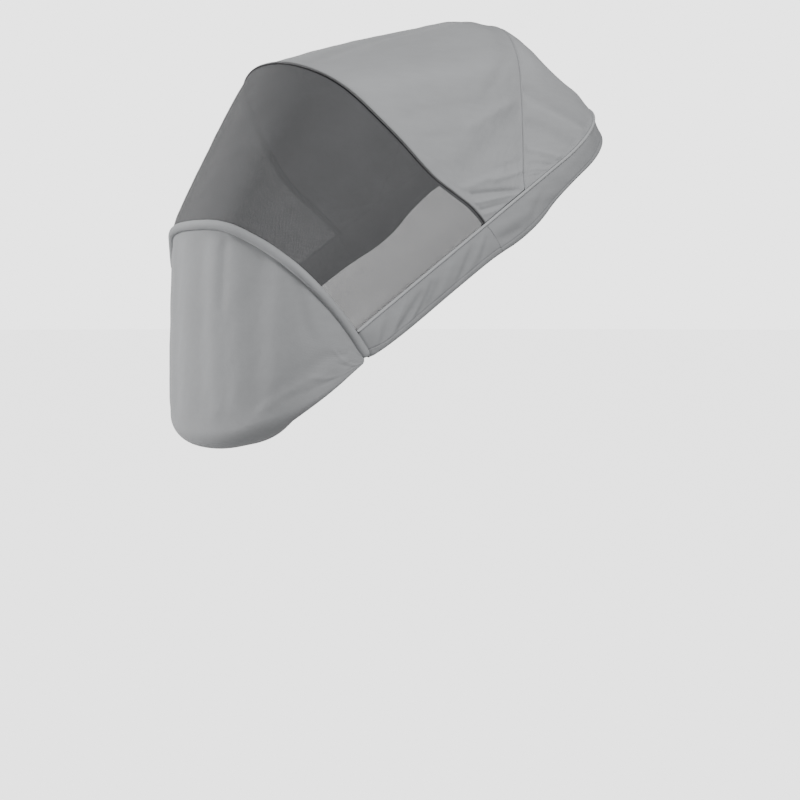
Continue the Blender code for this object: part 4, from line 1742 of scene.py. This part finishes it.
    def build(self) -> None:
        """Make the cover and its binding."""
        outer, tone = self.cover_grid()
        cover = dress(sheet_piece("foot_cover_cloth", outer, self.thickness, tone), SHADED_FOOT_CLOTH, "foot_cover")
        shares = np.linspace(0, 1, self.roll_points)
        line = PATTERN.world(at_shares(PATTERN.binding(), shares))
        wobble = 1 + 0.012 * np.sin(shares * 90) + 0.010 * np.sin(shares * 37 + 2)
        roll = tube_piece("binding_roll", line, PATTERN.binding_radius * wobble, self.roll_sides)
        dress(roll, ROLL_CLOTH, "foot_binding")


def turned_to(heading: Vector) -> Euler:
    """Return the turn that points a lamp's or a camera's front along a heading."""
    return heading.to_track_quat("-Z", "Y").to_euler()


@dataclass(frozen=True)
class Lamp:
    """A square soft light: where it hangs, its side, and its power in watts."""

    name: str
    place: Place
    side: float
    power: float

    def hang(self, aim: Place) -> None:
        """Hang the light so that it points at a place.

        Args:
            aim: The place.
        """
        data = bpy.data.lights.new(self.name, "AREA")
        data.shape, data.size, data.energy = "SQUARE", self.side, self.power
        lamp = placed(self.name, data)
        lamp.location = self.place
        lamp.rotation_euler = turned_to(Vector(aim) - Vector(self.place))


@dataclass
class Studio:
    """The pale floor, the soft lights and the camera."""

    floor_height: float = -1.015
    floor_reach: float = 40.0
    floor_thickness: float = 0.02
    floor_sides: int = 96
    surround: float = 0.25
    backdrop: float = 3.0
    floor_glow: float = 0.9
    place: Place = (1.7561, -1.3730, -0.4108)
    heading: tuple[float, float] = (-0.806, 0.592)
    dip: float = math.radians(3.606)
    lens: float = 65.7
    sensor: float = 36.0
    aim: Place = (0.0, -0.15, -0.25)
    lamps: tuple[Lamp, ...] = (
        Lamp("key", (-2.1, -2.2, 0.25), 1.5, 112.0),
        Lamp("side", (2.15, -0.55, 1.35), 1.2, 70.0),
    )

    def floor(self) -> None:
        """Make a wide round floor."""
        bpy.ops.object.select_all(action="DESELECT")
        centre = (0.0, -0.1, self.floor_height)
        bpy.ops.mesh.primitive_circle_add(
            vertices=self.floor_sides, radius=self.floor_reach, fill_type="NGON", location=centre
        )
        floor = bpy.context.object
        floor.name = "pale_floor"
        bpy.ops.object.mode_set(mode="EDIT")
        bpy.ops.mesh.select_all(action="SELECT")
        bpy.ops.mesh.extrude_region_move(TRANSFORM_OT_translate={"value": (0, 0, -self.floor_thickness)})
        bpy.ops.object.mode_set(mode="OBJECT")
        bpy.ops.object.transform_apply(location=True, rotation=True, scale=True)
        floor.data.materials.append(self.floor_paint())

    def floor_paint(self) -> bpy.types.Material:
        """Return the floor's pale paint, which meets the surround without a line."""
        paint = FLOOR_PAINT.material()
        kit = NodeKit(paint.node_tree)
        glow = kit.add("ShaderNodeEmission", inputs={"Strength": self.backdrop})
        kit.show_glow(kit.tree.nodes["Principled BSDF"], glow, self.floor_glow, "Material Output")
        return paint

    def sky(self) -> None:
        """Set an even pale surround, brighter to the eye than as a light."""
        world = bpy.data.worlds.new("studio")
        world.use_nodes = True
        kit = NodeKit(world.node_tree)
        lit, white = kit.tree.nodes["Background"], (1.0, 1.0, 1.0, 1.0)
        kit.join(white, lit.inputs["Color"])
        kit.join(self.surround, lit.inputs["Strength"])
        seen = kit.add("ShaderNodeBackground", inputs={"Color": white, "Strength": self.backdrop})
        kit.show_glow(lit, seen, 1.0, "World Output")
        bpy.context.scene.world = world

    def camera(self) -> None:
        """Set the camera at the photograph's angle."""
        data = bpy.data.cameras.new("camera")
        data.lens, data.sensor_width = self.lens, self.sensor
        camera = placed("camera", data)
        camera.location = self.place
        level = math.cos(self.dip)
        heading = Vector((self.heading[0] * level, self.heading[1] * level, -math.sin(self.dip)))
        camera.rotation_euler = turned_to(heading)
        bpy.context.scene.camera = camera

    def build(self) -> None:
        """Set up floor, world, lights and camera."""
        self.floor()
        self.sky()
        for lamp in self.lamps:
            lamp.hang(self.aim)
        self.camera()


def write_sizes() -> None:
    """Update the view layer."""
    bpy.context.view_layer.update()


def main() -> None:
    """Build every sub-assembly in order."""
    logging.basicConfig(level=logging.INFO, format="%(name)s %(message)s")
    Studio().build()
    stitches = Stitches()
    Hood().build(stitches)
    NetFront().build()
    BrimZip().build()
    RimBand().build(stitches)
    FootEnd().build()
    write_sizes()


if __name__ == "__main__":
    main()
